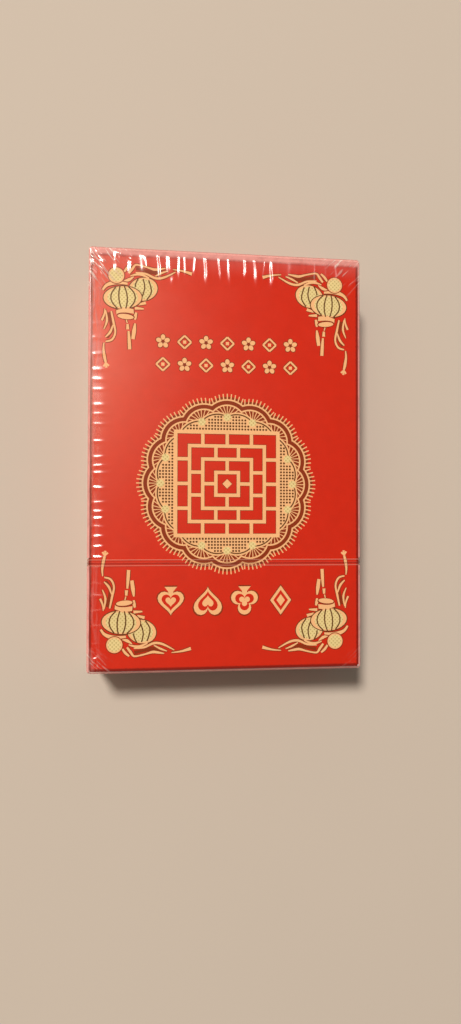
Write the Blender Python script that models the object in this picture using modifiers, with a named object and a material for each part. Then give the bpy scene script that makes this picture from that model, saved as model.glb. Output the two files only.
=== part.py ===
"""A sealed deck of playing cards: a clear film wrap, a folded tuck carton and the cards inside it.

Units are metres and +Z is up. The pack lies flat on its back, with its printed front face up. +Y is
the carton's glued bottom end and -Y its opening end. The origin is under the middle of the pack.
"""

import bmesh
import bpy
from mathutils import Matrix, Vector

# The cards
CARD_WIDTH = 0.0570
CARD_LENGTH = 0.0870
CARD_THICKNESS = 0.000270
CARD_PITCH = 0.000285
CARD_CORNER_RADIUS = 0.0035
CARD_CORNER_SEGMENTS = 4
CARD_BACK_CLEARANCE = 0.0001
JOKER_TIE_WIDTH = 0.0004
SUITS = ("spade", "heart", "club", "diamond")
RANKS = ("ace", "2", "3", "4", "5", "6", "7", "8", "9", "10", "jack", "queen", "king")

# The carton, outside sizes
BOARD = 0.0004
CARTON_WIDTH = 0.0590
CARTON_LENGTH = 0.0900
CARTON_HEIGHT = 0.0180
THUMB_NOTCH_RADIUS = 0.0080
THUMB_NOTCH_SIDES = 48

# The carton's opening end. A crease leaves this much room to the edge of the panel that it bends on.
CREASE_ROOM = 0.00025
CREASE_EDGE = 0.0001
FLAP_DEPTH = 0.00055
FLAP_LENGTH = 0.0100
FLAP_END_HEIGHT = 0.0030
FLAP_END_RADIUS = 0.0012
TONGUE_LENGTH = 0.0080
TONGUE_SIDE_CLEARANCE = 0.0007
TONGUE_CORNER_RADIUS = 0.0045
TONGUE_CREASE = 0.00005
TONGUE_LIFT = 0.0008
DECK_LIFT = 0.00015

# The film wrap and the tear tape on its inner side
FILM = 0.00005
FILM_GAP = 0.00010
TAPE_MIDDLE = 0.0230
TAPE_WIDTH = 0.0014
TAPE_THICKNESS = 0.00004
TEAR_GAP = 0.0003

# Colours as linear RGBA, and how rough each surface is
FILM_COLOUR = (0.92, 0.93, 0.95, 0.2)
FILM_ROUGHNESS = 0.08
PRINTED_RED = (0.60, 0.035, 0.016, 1.0)
PRINTED_ROUGHNESS = 0.45
CARD_WHITE = (0.86, 0.85, 0.82, 1.0)
CARD_ROUGHNESS = 0.40

# Places that follow from the sizes above
FILM_STEP = FILM + FILM_GAP
BACK_Z = FILM_STEP
FRONT_Z = BACK_Z + CARTON_HEIGHT
OPEN_Y = -CARTON_LENGTH / 2
END_Y = CARTON_LENGTH / 2
SIDE_X = CARTON_WIDTH / 2
LID_AXIS = Vector((0.0, OPEN_Y + BOARD / 2, FRONT_Z - BOARD / 2))
TONGUE_Z = BACK_Z + BOARD + TONGUE_LIFT
TONGUE_AXIS = Vector((0.0, OPEN_Y + BOARD + TONGUE_CREASE, TONGUE_Z + BOARD + TONGUE_CREASE))
FLAP_AXIS_X = SIDE_X - BOARD / 2
FLAP_AXIS_Y = OPEN_Y + FLAP_DEPTH + BOARD / 2
FLAP_BOTTOM_Z = TONGUE_Z + BOARD + CREASE_ROOM
FLAP_TOP_Z = FRONT_Z - BOARD - CREASE_ROOM
DECK_Z = TONGUE_Z + BOARD + DECK_LIFT
DECK_Y = END_Y - BOARD - CARD_BACK_CLEARANCE - CARD_LENGTH / 2
TEAR_Y = OPEN_Y + TAPE_MIDDLE + TAPE_WIDTH / 2
CUT_MARGIN = 0.002
SAME_WAY = 0.9


def clear_scene():
    for existing in list(bpy.data.objects):
        bpy.data.objects.remove(existing, do_unlink=True)


def new_collection(name):
    collection = bpy.data.collections.new(name)
    bpy.context.scene.collection.children.link(collection)
    return collection


def new_material(name, colour, roughness):
    material = bpy.data.materials.new(name)
    material.use_nodes = True
    shader = material.node_tree.nodes["Principled BSDF"]
    shader.inputs["Base Color"].default_value = colour
    shader.inputs["Alpha"].default_value = colour[3]
    shader.inputs["Roughness"].default_value = roughness
    shader.inputs["Metallic"].default_value = 0.0
    return material


def block(low, high):
    """A bmesh box between two corners."""
    low = Vector(low)
    high = Vector(high)
    mesh = bmesh.new()
    bmesh.ops.create_cube(mesh, size=1.0)
    bmesh.ops.scale(mesh, vec=high - low, verts=mesh.verts)
    bmesh.ops.translate(mesh, vec=(low + high) / 2, verts=mesh.verts)
    return mesh


def round_upright_edges(mesh, radius, segments, chosen):
    """Rounds the edges along Z whose middle passes the chosen test."""
    edges = []
    for edge in mesh.edges:
        first, second = (vertex.co for vertex in edge.verts)
        upright = abs(first.x - second.x) + abs(first.y - second.y) < abs(first.z - second.z)
        if upright and chosen((first + second) / 2):
            edges.append(edge)
    bmesh.ops.bevel(
        mesh, geom=edges, offset=radius, offset_type="OFFSET", affect="EDGES",
        segments=segments, profile=0.5, clamp_overlap=True, material=-1,
    )


def open_end(mesh, direction):
    """Takes away the faces of a box that look along the direction."""
    gone = [face for face in mesh.faces if face.normal.dot(direction) > SAME_WAY]
    bmesh.ops.delete(mesh, geom=gone, context="FACES_ONLY")


def new_object(name, mesh, collection, material, origin=(0.0, 0.0, 0.0)):
    """Makes an object of a bmesh that is given in world places, with its own origin."""
    origin = Vector(origin)
    mesh.normal_update()
    bmesh.ops.translate(mesh, vec=-origin, verts=mesh.verts)
    data = bpy.data.meshes.new(name)
    mesh.to_mesh(data)
    mesh.free()
    data.materials.append(material)
    made = bpy.data.objects.new(name, data)
    made.location = origin
    collection.objects.link(made)
    return made


def thicken(piece, thickness):
    """Gives an open surface its wall, inwards from the outside face."""
    wall = piece.modifiers.new("wall", "SOLIDIFY")
    wall.thickness = thickness
    wall.offset = -1.0
    wall.use_even_offset = True


def hide_helper(helper):
    helper.hide_render = True
    helper.display_type = "WIRE"


def combine(piece, helper, operation):
    hide_helper(helper)
    boolean = piece.modifiers.new(helper.name, "BOOLEAN")
    boolean.operation = operation
    boolean.object = helper


def make_film_sleeve(parts, film):
    """The film below the tear line, closed over the carton's bottom end."""
    reach = SIDE_X + FILM_STEP
    mesh = block((-reach, TEAR_Y + TEAR_GAP, 0.0), (reach, END_Y + FILM_STEP, FRONT_Z + FILM_STEP))
    open_end(mesh, Vector((0.0, -1.0, 0.0)))
    sleeve = new_object("film_sleeve", mesh, parts, film)
    thicken(sleeve, FILM)


def make_film_cap(parts, helpers, film):
    """The film above the tear line, which lifts off, with the tear tape round its edge."""
    reach = SIDE_X + FILM_STEP
    low_y = OPEN_Y - FILM_STEP
    origin = (0.0, low_y, 0.0)
    away = Vector((0.0, 1.0, 0.0))
    mesh = block((-reach, low_y, 0.0), (reach, TEAR_Y, FRONT_Z + FILM_STEP))
    open_end(mesh, away)
    cap = new_object("film_cap", mesh, parts, film, origin)
    thicken(cap, FILM)
    outside = FILM / 2
    mesh = block(
        (-reach + outside, TEAR_Y - TAPE_WIDTH, outside),
        (reach - outside, TEAR_Y, FRONT_Z + FILM_STEP - outside),
    )
    open_end(mesh, away)
    open_end(mesh, -away)
    tape = new_object("tear_tape", mesh, helpers, film, origin)
    thicken(tape, FILM - outside + TAPE_THICKNESS)
    combine(cap, tape, "UNION")


def make_carton_shell(parts, helpers, printed):
    """Front, back, sides and glued bottom of the carton, with a thumb notch in the back panel."""
    mesh = block((-SIDE_X, OPEN_Y, BACK_Z), (SIDE_X, END_Y, FRONT_Z))
    open_end(mesh, Vector((0.0, -1.0, 0.0)))
    shell = new_object("carton_shell", mesh, parts, printed)
    thicken(shell, BOARD)

    front_low = (-SIDE_X - CUT_MARGIN, OPEN_Y - CUT_MARGIN, FRONT_Z - BOARD - CUT_MARGIN)
    front_high = (SIDE_X + CUT_MARGIN, LID_AXIS.y + CREASE_ROOM, FRONT_Z + CUT_MARGIN)
    combine(shell, new_object("front_trim", block(front_low, front_high), helpers, printed), "DIFFERENCE")

    side_low = (-SIDE_X - CUT_MARGIN, OPEN_Y - CUT_MARGIN, BACK_Z + BOARD)
    side_high = (SIDE_X + CUT_MARGIN, FLAP_AXIS_Y + CREASE_ROOM, FRONT_Z - BOARD)
    combine(shell, new_object("side_trim", block(side_low, side_high), helpers, printed), "DIFFERENCE")

    mesh = bmesh.new()
    bmesh.ops.create_cone(
        mesh, cap_ends=True, segments=THUMB_NOTCH_SIDES, depth=4 * BOARD,
        radius1=THUMB_NOTCH_RADIUS, radius2=THUMB_NOTCH_RADIUS,
        matrix=Matrix.Translation((0.0, OPEN_Y, BACK_Z)),
    )
    combine(shell, new_object("thumb_notch", mesh, helpers, printed), "DIFFERENCE")


def make_lid(parts, printed):
    """The closing panel, hinged on the crease at the front panel's edge."""
    mesh = block((-SIDE_X, OPEN_Y, TONGUE_Z), (SIDE_X, OPEN_Y + BOARD, LID_AXIS.z - CREASE_EDGE))
    return new_object("carton_lid", mesh, parts, printed, LID_AXIS)


def make_tongue(parts, printed, lid):
    """The tuck tongue, hinged on the lid's lower crease and tucked in above the back panel."""
    half = SIDE_X - BOARD - TONGUE_SIDE_CLEARANCE
    end_y = TONGUE_AXIS.y + TONGUE_LENGTH
    mesh = block((-half, TONGUE_AXIS.y, TONGUE_Z), (half, end_y, TONGUE_Z + BOARD))
    round_upright_edges(
        mesh, TONGUE_CORNER_RADIUS, CARD_CORNER_SEGMENTS, lambda middle: middle.y > TONGUE_AXIS.y + BOARD
    )
    tongue = new_object("tuck_tongue", mesh, parts, printed, TONGUE_AXIS)
    tongue.parent = lid
    tongue.location = TONGUE_AXIS - LID_AXIS


def make_dust_flap(parts, printed, name, side):
    """A tapered flap, hinged on the end of a side panel and folded in behind the lid."""
    hinge_x = side * FLAP_AXIS_X
    root_x = hinge_x - side * CREASE_EDGE
    end_x = hinge_x - side * FLAP_LENGTH
    low = (min(root_x, end_x), OPEN_Y + FLAP_DEPTH, FLAP_BOTTOM_Z)
    high = (max(root_x, end_x), OPEN_Y + FLAP_DEPTH + BOARD, FLAP_TOP_Z)
    mesh = block(low, high)
    middle_z = (FLAP_BOTTOM_Z + FLAP_TOP_Z) / 2
    tip = [vertex for vertex in mesh.verts if abs(vertex.co.x - end_x) < CREASE_EDGE]
    taper = FLAP_END_HEIGHT / (FLAP_TOP_Z - FLAP_BOTTOM_Z)
    bmesh.ops.scale(
        mesh, vec=(1.0, 1.0, taper), space=Matrix.Translation((0.0, 0.0, -middle_z)), verts=tip
    )
    tip_edges = [edge for edge in mesh.edges if edge.verts[0] in tip and edge.verts[1] in tip]
    across = [edge for edge in tip_edges if abs(edge.verts[0].co.y - edge.verts[1].co.y) > BOARD / 2]
    bmesh.ops.bevel(
        mesh, geom=across, offset=FLAP_END_RADIUS, offset_type="OFFSET", affect="EDGES",
        segments=CARD_CORNER_SEGMENTS, profile=0.5, clamp_overlap=True, material=-1,
    )
    new_object(name, mesh, parts, printed, (hinge_x, FLAP_AXIS_Y, middle_z))


def card_mesh(place):
    """A card with round corners, at its place in the stack counted from below."""
    low_z = DECK_Z + place * CARD_PITCH
    mesh = block(
        (-CARD_WIDTH / 2, DECK_Y - CARD_LENGTH / 2, low_z),
        (CARD_WIDTH / 2, DECK_Y + CARD_LENGTH / 2, low_z + CARD_THICKNESS),
    )
    round_upright_edges(mesh, CARD_CORNER_RADIUS, CARD_CORNER_SEGMENTS, lambda middle: True)
    return mesh


def make_cards(parts, helpers, card):
    """The four suits in order, with the two jokers on top as one tied pair."""
    place = 0
    for suit in SUITS:
        for rank in RANKS:
            new_object(f"card_{suit}_{rank}", card_mesh(place), parts, card)
            place += 1
    jokers = new_object("card_joker_pair", card_mesh(place), parts, card)
    combine(jokers, new_object("upper_joker", card_mesh(place + 1), helpers, card), "UNION")
    low_z = DECK_Z + place * CARD_PITCH + CARD_THICKNESS / 2
    half = JOKER_TIE_WIDTH / 2
    tie = block((-half, DECK_Y - half, low_z), (half, DECK_Y + half, low_z + CARD_PITCH))
    combine(jokers, new_object("joker_tie", tie, helpers, card), "UNION")


def main():
    clear_scene()
    parts = new_collection("playing_card_deck")
    helpers = new_collection("cutters")
    film = new_material("clear_film", FILM_COLOUR, FILM_ROUGHNESS)
    printed = new_material("printed_board", PRINTED_RED, PRINTED_ROUGHNESS)
    card = new_material("card_stock", CARD_WHITE, CARD_ROUGHNESS)

    make_film_sleeve(parts, film)
    make_film_cap(parts, helpers, film)
    make_carton_shell(parts, helpers, printed)
    lid = make_lid(parts, printed)
    make_tongue(parts, printed, lid)
    make_dust_flap(parts, printed, "dust_flap_left", -1)
    make_dust_flap(parts, printed, "dust_flap_right", 1)
    make_cards(parts, helpers, card)


main()
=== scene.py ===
"""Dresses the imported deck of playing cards: printed carton, flaps, clear wrap, cards and a plain stage.

It runs as a script in Blender. The frame holds the bodies and the solids. Every piece made here rides
on a body.
"""

import itertools
import math
import random

import bmesh
import bpy
import numpy as np
from bpy.props import FloatProperty, FloatVectorProperty, PointerProperty
from mathutils import Matrix, Vector
from mathutils.geometry import interpolate_bezier


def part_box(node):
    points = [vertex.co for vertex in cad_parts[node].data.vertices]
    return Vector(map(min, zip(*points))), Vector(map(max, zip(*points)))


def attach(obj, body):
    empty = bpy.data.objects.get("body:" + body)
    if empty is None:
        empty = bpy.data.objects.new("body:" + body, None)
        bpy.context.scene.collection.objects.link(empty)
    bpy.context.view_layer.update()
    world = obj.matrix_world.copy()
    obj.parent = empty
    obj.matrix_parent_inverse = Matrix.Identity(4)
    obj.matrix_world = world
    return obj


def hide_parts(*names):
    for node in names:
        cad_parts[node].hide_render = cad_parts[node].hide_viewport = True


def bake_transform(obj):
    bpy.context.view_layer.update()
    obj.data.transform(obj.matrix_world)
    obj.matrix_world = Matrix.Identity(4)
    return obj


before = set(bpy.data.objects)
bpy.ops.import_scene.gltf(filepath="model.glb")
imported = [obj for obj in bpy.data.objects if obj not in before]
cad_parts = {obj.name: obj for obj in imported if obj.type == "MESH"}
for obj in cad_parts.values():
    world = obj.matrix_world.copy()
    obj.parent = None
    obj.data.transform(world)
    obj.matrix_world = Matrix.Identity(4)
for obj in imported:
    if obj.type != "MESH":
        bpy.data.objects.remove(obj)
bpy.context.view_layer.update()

bl_info = {
    "name": "Sealed deck of playing cards",
    "version": (1, 0, 0),
    "blender": (4, 5, 0),
    "location": "3D View > Sidebar > Deck",
    "description": "Printed carton, clear wrap and cards round a packed frame",
    "category": "Add Mesh",
}

MM = 0.001

# Places read from the frame, in metres
SHELL_LOW, SHELL_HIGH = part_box("carton_shell")
LID_LOW, LID_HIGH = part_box("carton_lid")
TONGUE_LOW, TONGUE_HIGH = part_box("tuck_tongue")
SLEEVE_LOW, SLEEVE_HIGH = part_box("film_sleeve")
CAP_LOW, CAP_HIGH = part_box("film_cap")

# The photograph's camera, fitted to the four corners of the carton's face
PHOTO_HEIGHT = 1024
FOCAL_PIXELS = 781
SENSOR_LONG_SIDE = 36.0
CAMERA_PLACE = Vector((-0.02294, -0.01511, 0.18554))
CAMERA_LOOK = Vector((0.14007, 0.02363, -0.98986))
CAMERA_UP = Vector((-0.00504, 0.99972, 0.02316))

# Inks of a printed piece, by the order of its materials
GROUND_INK = 0
GOLD_INK = 1
RED_INK = 2
PALE_INK = 3
DARK_INK = 4


class DeckSizes(bpy.types.PropertyGroup):
    """Sizes that change the look of the carton, its print and its wrap."""

    fold_radius: FloatProperty(
        name="Fold radius", description="Rounding of the carton's folded edges",
        default=0.0004, min=0.0001, max=0.0015, unit="LENGTH", subtype="DISTANCE",
    )
    board: FloatProperty(
        name="Board", description="Thickness of the carton board",
        default=0.0004, min=0.0002, max=0.0006, unit="LENGTH", subtype="DISTANCE",
    )
    ink_layer: FloatProperty(
        name="Ink layer", description="Height of one layer of ink on the board",
        default=0.00001, min=0.000005, max=0.000012, unit="LENGTH", subtype="DISTANCE",
    )
    wrap_radius: FloatProperty(
        name="Wrap radius", description="Rounding of the clear wrap over the carton's edges",
        default=0.00048, min=0.0003, max=0.0015, unit="LENGTH", subtype="DISTANCE",
    )
    wrap: FloatProperty(
        name="Wrap", description="Thickness of the clear wrap",
        default=0.00005, min=0.00002, max=0.0001, unit="LENGTH", subtype="DISTANCE",
    )
    crinkle: FloatProperty(
        name="Crinkle", description="Slope of the crinkles at the wrap's edges, as a share of the usual",
        default=1.0, min=0.0, max=1.5, subtype="FACTOR",
    )


class DeckColours(bpy.types.PropertyGroup):
    """Colours of the inks, the board, the cards and the floor."""

    red_ink: FloatVectorProperty(
        name="Red ink", description="Ground colour of the carton",
        default=(0.595, 0.0165, 0.002), size=3, min=0.0, max=1.0, subtype="COLOR",
    )
    gold_ink: FloatVectorProperty(
        name="Gold ink", description="Ornaments on the carton",
        default=(0.87, 0.468, 0.214), size=3, min=0.0, max=1.0, subtype="COLOR",
    )
    pale_ink: FloatVectorProperty(
        name="Pale ink", description="Lantern paper and the lace's ground",
        default=(0.77, 0.60, 0.27), size=3, min=0.0, max=1.0, subtype="COLOR",
    )
    brown_ink: FloatVectorProperty(
        name="Brown ink", description="Shading and outlines of the ornaments",
        default=(0.25, 0.024, 0.0005), size=3, min=0.0, max=1.0, subtype="COLOR",
    )
    dark_ink: FloatVectorProperty(
        name="Dark ink", description="Ribs of the lanterns and fine dots",
        default=(0.115, 0.034, 0.002), size=3, min=0.0, max=1.0, subtype="COLOR",
    )
    bare_board: FloatVectorProperty(
        name="Bare board", description="Inner side and cut edges of the carton",
        default=(0.66, 0.63, 0.57), size=3, min=0.0, max=1.0, subtype="COLOR",
    )
    card_white: FloatVectorProperty(
        name="Card white", description="Card stock",
        default=(0.82, 0.81, 0.78), size=3, min=0.0, max=1.0, subtype="COLOR",
    )
    floor: FloatVectorProperty(
        name="Floor", description="Plain floor under the deck",
        default=(0.58, 0.49, 0.41), size=3, min=0.0, max=1.0, subtype="COLOR",
    )


def sizes():
    return bpy.context.scene.deck_sizes


def colours():
    return bpy.context.scene.deck_colours


# Node helpers


def once(build):
    """Keeps what a function makes, so that it's made once."""
    kept = []

    def give():
        if not kept:
            kept.append(build())
        return kept[0]

    return give


def feed(tree, socket, value):
    """Links a socket to another node's output, or sets its plain value."""
    if isinstance(value, bpy.types.NodeSocket):
        tree.links.new(value, socket)
    else:
        socket.default_value = value


def add_node(tree, kind, inputs=None, **settings):
    """A node with its settings, its plain values and its links."""
    made = tree.nodes.new(kind)
    for name, value in settings.items():
        setattr(made, name, value)
    for key, value in (inputs or {}).items():
        feed(tree, made.inputs[key], value)
    return made


def maths(tree, operation, first, second=0.0, third=0.0):
    """The output of one Math node."""
    values = {0: first, 1: second, 2: third}
    return add_node(tree, "ShaderNodeMath", values, operation=operation).outputs[0]


def plus(tree, first, second):
    return maths(tree, "ADD", first, second)


def minus(tree, first, second):
    return maths(tree, "SUBTRACT", first, second)


def times(tree, first, second, added=0.0):
    """A product with something added to it."""
    return maths(tree, "MULTIPLY_ADD", first, second, added)


def magnitude(tree, value):
    return maths(tree, "ABSOLUTE", value)


def vector_maths(tree, operation, first, second=(0.0, 0.0, 0.0)):
    """The outputs of one Vector Math node."""
    return add_node(tree, "ShaderNodeVectorMath", {0: first, 1: second}, operation=operation).outputs


def object_place(tree):
    return add_node(tree, "ShaderNodeTexCoord").outputs["Object"]


def split_axes(tree, place):
    """The x, y and z of a vector."""
    return add_node(tree, "ShaderNodeSeparateXYZ", {0: place}).outputs


def stretched(tree, place, scale):
    return add_node(tree, "ShaderNodeMapping", {"Vector": place, "Scale": scale}).outputs[0]


def noise(tree, place, scale, detail):
    values = {"Vector": place, "Scale": scale, "Detail": detail}
    return add_node(tree, "ShaderNodeTexNoise", values).outputs["Fac"]


def blend_colours(tree, share, first, second, way="MIX"):
    """The output of a colour Mix node."""
    made = add_node(tree, "ShaderNodeMix", data_type="RGBA", blend_type=way)
    for key, value in (("Factor_Float", share), ("A_Color", first), ("B_Color", second)):
        feed(tree, next(s for s in made.inputs if s.identifier == key), value)
    return next(s for s in made.outputs if s.identifier == "Result_Color")


def ramp(tree, value, given, wanted=(0.0, 1.0)):
    """A value moved smoothly from the given range to the wanted one."""
    values = {"Value": value, "From Min": given[0], "From Max": given[1]}
    values.update({"To Min": wanted[0], "To Max": wanted[1]})
    made = add_node(tree, "ShaderNodeMapRange", values, interpolation_type="SMOOTHSTEP")
    return made.outputs["Result"]


def bump(tree, height, strength, distance):
    values = {"Height": height, "Strength": strength, "Distance": distance}
    return add_node(tree, "ShaderNodeBump", values).outputs["Normal"]


def opaque(colour):
    return (*colour, 1.0)


def shaded(colour, share):
    """A darker tone of a colour."""
    return opaque(tuple(share * c for c in colour))


def start_group(name, inputs, outputs):
    """A shader node group with named sockets, and its input and output nodes."""
    tree = bpy.data.node_groups.new(name, "ShaderNodeTree")
    for sockets, direction in ((inputs, "INPUT"), (outputs, "OUTPUT")):
        for label, socket_type in sockets:
            tree.interface.new_socket(name=label, in_out=direction, socket_type=socket_type)
    return tree, tree.nodes.new("NodeGroupInput"), tree.nodes.new("NodeGroupOutput")


TOOTH_SHARE = 0.5
USUAL_GRAIN = 0.75
TOOTH_DULLS = 0.12


@once
def ink_grain():
    """Group: ink on coated board, with soft mottling, a fine tooth and a roughness that follows it."""
    inputs = (("Ink", "NodeSocketColor"), ("Mottle", "NodeSocketFloat"), ("Roughness", "NodeSocketFloat"))
    outputs = (
        ("Colour", "NodeSocketColor"), ("Roughness", "NodeSocketFloat"), ("Height", "NodeSocketFloat"),
    )
    tree, given, result = start_group("Ink grain", inputs, outputs)
    place = object_place(tree)
    cloud = noise(tree, place, scale=420.0, detail=4.0)
    tooth = noise(tree, place, scale=7000.0, detail=3.0)
    swing = minus(tree, times(tree, tooth, TOOTH_SHARE, cloud), USUAL_GRAIN)
    shade = times(tree, swing, given.outputs["Mottle"], 1.0)
    grey = add_node(tree, "ShaderNodeCombineColor", {0: shade, 1: shade, 2: shade}).outputs[0]
    dull = minus(tree, times(tree, tooth, TOOTH_DULLS, given.outputs["Roughness"]), TOOTH_DULLS / 2)
    colour = blend_colours(tree, 1.0, given.outputs["Ink"], grey, "MULTIPLY")
    tree.links.new(colour, result.inputs["Colour"])
    tree.links.new(dull, result.inputs["Roughness"])
    tree.links.new(tooth, result.inputs["Height"])
    return tree


@once
def fold_wear_and_shade():
    """Group: a broken mask along the edges of a box. On the carton it gives painted shade along the folds,
    on the wrap milky creases.
    """
    inputs = (
        ("Centre", "NodeSocketVector"), ("Half size", "NodeSocketVector"),
        ("Width", "NodeSocketFloat"), ("Broken", "NodeSocketFloat"),
    )
    tree, given, result = start_group("Fold wear and shade", inputs, (("Mask", "NodeSocketFloat"),))
    place = object_place(tree)
    away = vector_maths(tree, "SUBTRACT", place, given.outputs["Centre"])[0]
    folded = vector_maths(tree, "ABSOLUTE", away)[0]
    depth = vector_maths(tree, "SUBTRACT", given.outputs["Half size"], folded)[0]
    x, y, z = split_axes(tree, depth)
    nearer = maths(tree, "MINIMUM", x, y)
    farther = maths(tree, "MAXIMUM", x, y)
    edge = maths(tree, "MAXIMUM", nearer, maths(tree, "MINIMUM", farther, z))
    close = ramp(tree, maths(tree, "DIVIDE", edge, given.outputs["Width"]), (0.0, 1.0), (1.0, 0.0))
    gaps = ramp(tree, noise(tree, place, scale=1600.0, detail=5.0), (0.40, 0.72), (1.0, 0.0))
    kept = minus(tree, 1.0, times(tree, gaps, given.outputs["Broken"]))
    tree.links.new(times(tree, close, kept), result.inputs["Mask"])
    return tree


def wear_and_shade_edges(tree, low, high, width, broken):
    """The mask of the fold wear and shade group for a box."""
    values = {"Centre": (low + high) / 2, "Half size": (high - low) / 2, "Width": width, "Broken": broken}
    return add_node(tree, "ShaderNodeGroup", values, node_tree=fold_wear_and_shade()).outputs["Mask"]


# Materials

RED_FINISH = {"mottle": 0.16, "roughness": 0.38, "relief": 0.12}
GOLD_FINISH = {"mottle": 0.14, "roughness": 0.34, "relief": 0.10}
PALE_FINISH = {"mottle": 0.22, "roughness": 0.36, "relief": 0.10}
BROWN_FINISH = {"mottle": 0.22, "roughness": 0.42, "relief": 0.10}
DARK_FINISH = {"mottle": 0.20, "roughness": 0.42, "relief": 0.10}
SUIT_FINISH = {"mottle": 0.10, "roughness": 0.45, "relief": 0.05}
INK_GLOSS = 0.25
INK_GLOSS_TINT = (1.0, 0.84, 0.60, 1.0)
INK_DEPTH = 0.00002
# Painted shade along the carton's folds: its width and its darkest red
FOLD_SHADE_WIDTH = 0.0011
FOLD_SHADE_RED = (0.20, 0.006, 0.001, 1.0)
SCREEN_PITCH = 0.00085
SCREEN_DOT = (0.40, 0.27, 0.08, 1.0)
CARD_CREAM = (0.70, 0.66, 0.58, 1.0)
CARD_ROUGHNESS = (0.40, 0.58)
BACK_TURNS = 1600.0
BACK_HALF = (0.0250, 0.0400)
BACK_EDGE = 0.0002
BACK_MIDDLE = 0.001
SUIT_RED = (0.58, 0.012, 0.014)
SUIT_BLACK = (0.012, 0.012, 0.014)


def start_material(name):
    """A material with an empty tree, its output node and its Principled shader."""
    made = bpy.data.materials.new(name)
    made.use_nodes = True
    tree = made.node_tree
    tree.nodes.clear()
    output = tree.nodes.new("ShaderNodeOutputMaterial")
    shader = tree.nodes.new("ShaderNodeBsdfPrincipled")
    tree.links.new(shader.outputs[0], output.inputs["Surface"])
    return made, tree, shader


def link_shader(tree, shader, **outputs):
    """Links what changes over the surface to the shader's colour, roughness and normal."""
    sockets = {"colour": "Base Color", "roughness": "Roughness", "normal": "Normal"}
    for name, output in outputs.items():
        tree.links.new(output, shader.inputs[sockets[name]])


def inked(name, ink, mottle, roughness, relief):
    """A material of one ink through the ink grain group. Returns it with its tree, shader and colour."""
    made, tree, shader = start_material(name)
    shader.inputs["Specular IOR Level"].default_value = INK_GLOSS
    shader.inputs["Specular Tint"].default_value = INK_GLOSS_TINT
    values = {"Ink": opaque(ink), "Mottle": mottle, "Roughness": roughness}
    grain = add_node(tree, "ShaderNodeGroup", values, node_tree=ink_grain()).outputs
    normal = bump(tree, grain["Height"], relief, INK_DEPTH)
    link_shader(tree, shader, colour=grain["Colour"], roughness=grain["Roughness"], normal=normal)
    return made, tree, shader, grain["Colour"]


@once
def red_board():
    """Red ink on the carton, with painted shade that darkens it along the folds."""
    made, tree, shader, colour = inked("red_board", colours().red_ink, **RED_FINISH)
    # Painted shade: the red darkens along the rounded folds, with gaps in it
    fold_mask = wear_and_shade_edges(tree, SHELL_LOW, SHELL_HIGH, FOLD_SHADE_WIDTH, broken=0.3)
    folds = ramp(tree, fold_mask, (0.1, 0.45), (0.0, 0.9))
    link_shader(tree, shader, colour=blend_colours(tree, folds, colour, FOLD_SHADE_RED))
    return made


@once
def red_print():
    """Red ink laid over another ink."""
    return inked("red_print", colours().red_ink, **RED_FINISH)[0]


@once
def gold_print():
    """Warm gold ink of the lines and ornaments."""
    return inked("gold_print", colours().gold_ink, **GOLD_FINISH)[0]


@once
def pale_print():
    """Paler gold of the lantern paper and the lace's hubs, printed with a fine screen of dots."""
    made, tree, shader, colour = inked("pale_print", colours().pale_ink, **PALE_FINISH)
    axes = split_axes(tree, object_place(tree))
    waves = [maths(tree, "SINE", times(tree, axis, math.tau / SCREEN_PITCH)) for axis in axes[:2]]
    dots = ramp(tree, times(tree, *waves), (0.1, 0.6), (0.0, 0.6))
    link_shader(tree, shader, colour=blend_colours(tree, dots, colour, SCREEN_DOT))
    return made


@once
def brown_print():
    """Brown ink of outlines and shading."""
    return inked("brown_print", colours().brown_ink, **BROWN_FINISH)[0]


@once
def dark_print():
    """Dark ink of lantern ribs and fine dots."""
    return inked("dark_print", colours().dark_ink, **DARK_FINISH)[0]


@once
def red_suit():
    """Red ink on a card."""
    return inked("red_suit", SUIT_RED, **SUIT_FINISH)[0]


@once
def black_suit():
    """Black ink on a card."""
    return inked("black_suit", SUIT_BLACK, **SUIT_FINISH)[0]


@once
def bare_board():
    """Uncoated inner side and cut edges of the board, with short fibres."""
    made, tree, shader = start_material("bare_board")
    place = object_place(tree)
    fibres = noise(tree, stretched(tree, place, (1.0, 5.0, 1.0)), scale=2600.0, detail=6.0)
    clouds = noise(tree, place, scale=300.0, detail=3.0)
    tone = times(tree, fibres, 0.6, times(tree, clouds, 0.4))
    light, dark = opaque(colours().bare_board), shaded(colours().bare_board, 0.72)
    link_shader(
        tree, shader, colour=blend_colours(tree, tone, light, dark),
        roughness=ramp(tree, fibres, (0.2, 0.8), (0.72, 0.92)), normal=bump(tree, fibres, 0.35, 0.00003),
    )
    return made


@once
def card_stock():
    """White card stock with a faint linen tooth, and a tone that differs from card to card."""
    made, tree, shader = start_material("card_stock")
    place = object_place(tree)
    tooth = noise(tree, place, scale=5200.0, detail=4.0)
    level = noise(tree, stretched(tree, place, (0.02, 0.02, 1.0)), scale=3300.0, detail=0.0)
    each = ramp(tree, level, (0.3, 0.7))
    tone = times(tree, tooth, 0.4, times(tree, each, 0.6))
    link_shader(
        tree, shader, colour=blend_colours(tree, tone, opaque(colours().card_white), CARD_CREAM),
        roughness=ramp(tree, tooth, (0.2, 0.8), CARD_ROUGHNESS), normal=bump(tree, tooth, 0.15, 0.00001),
    )
    return made


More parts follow.
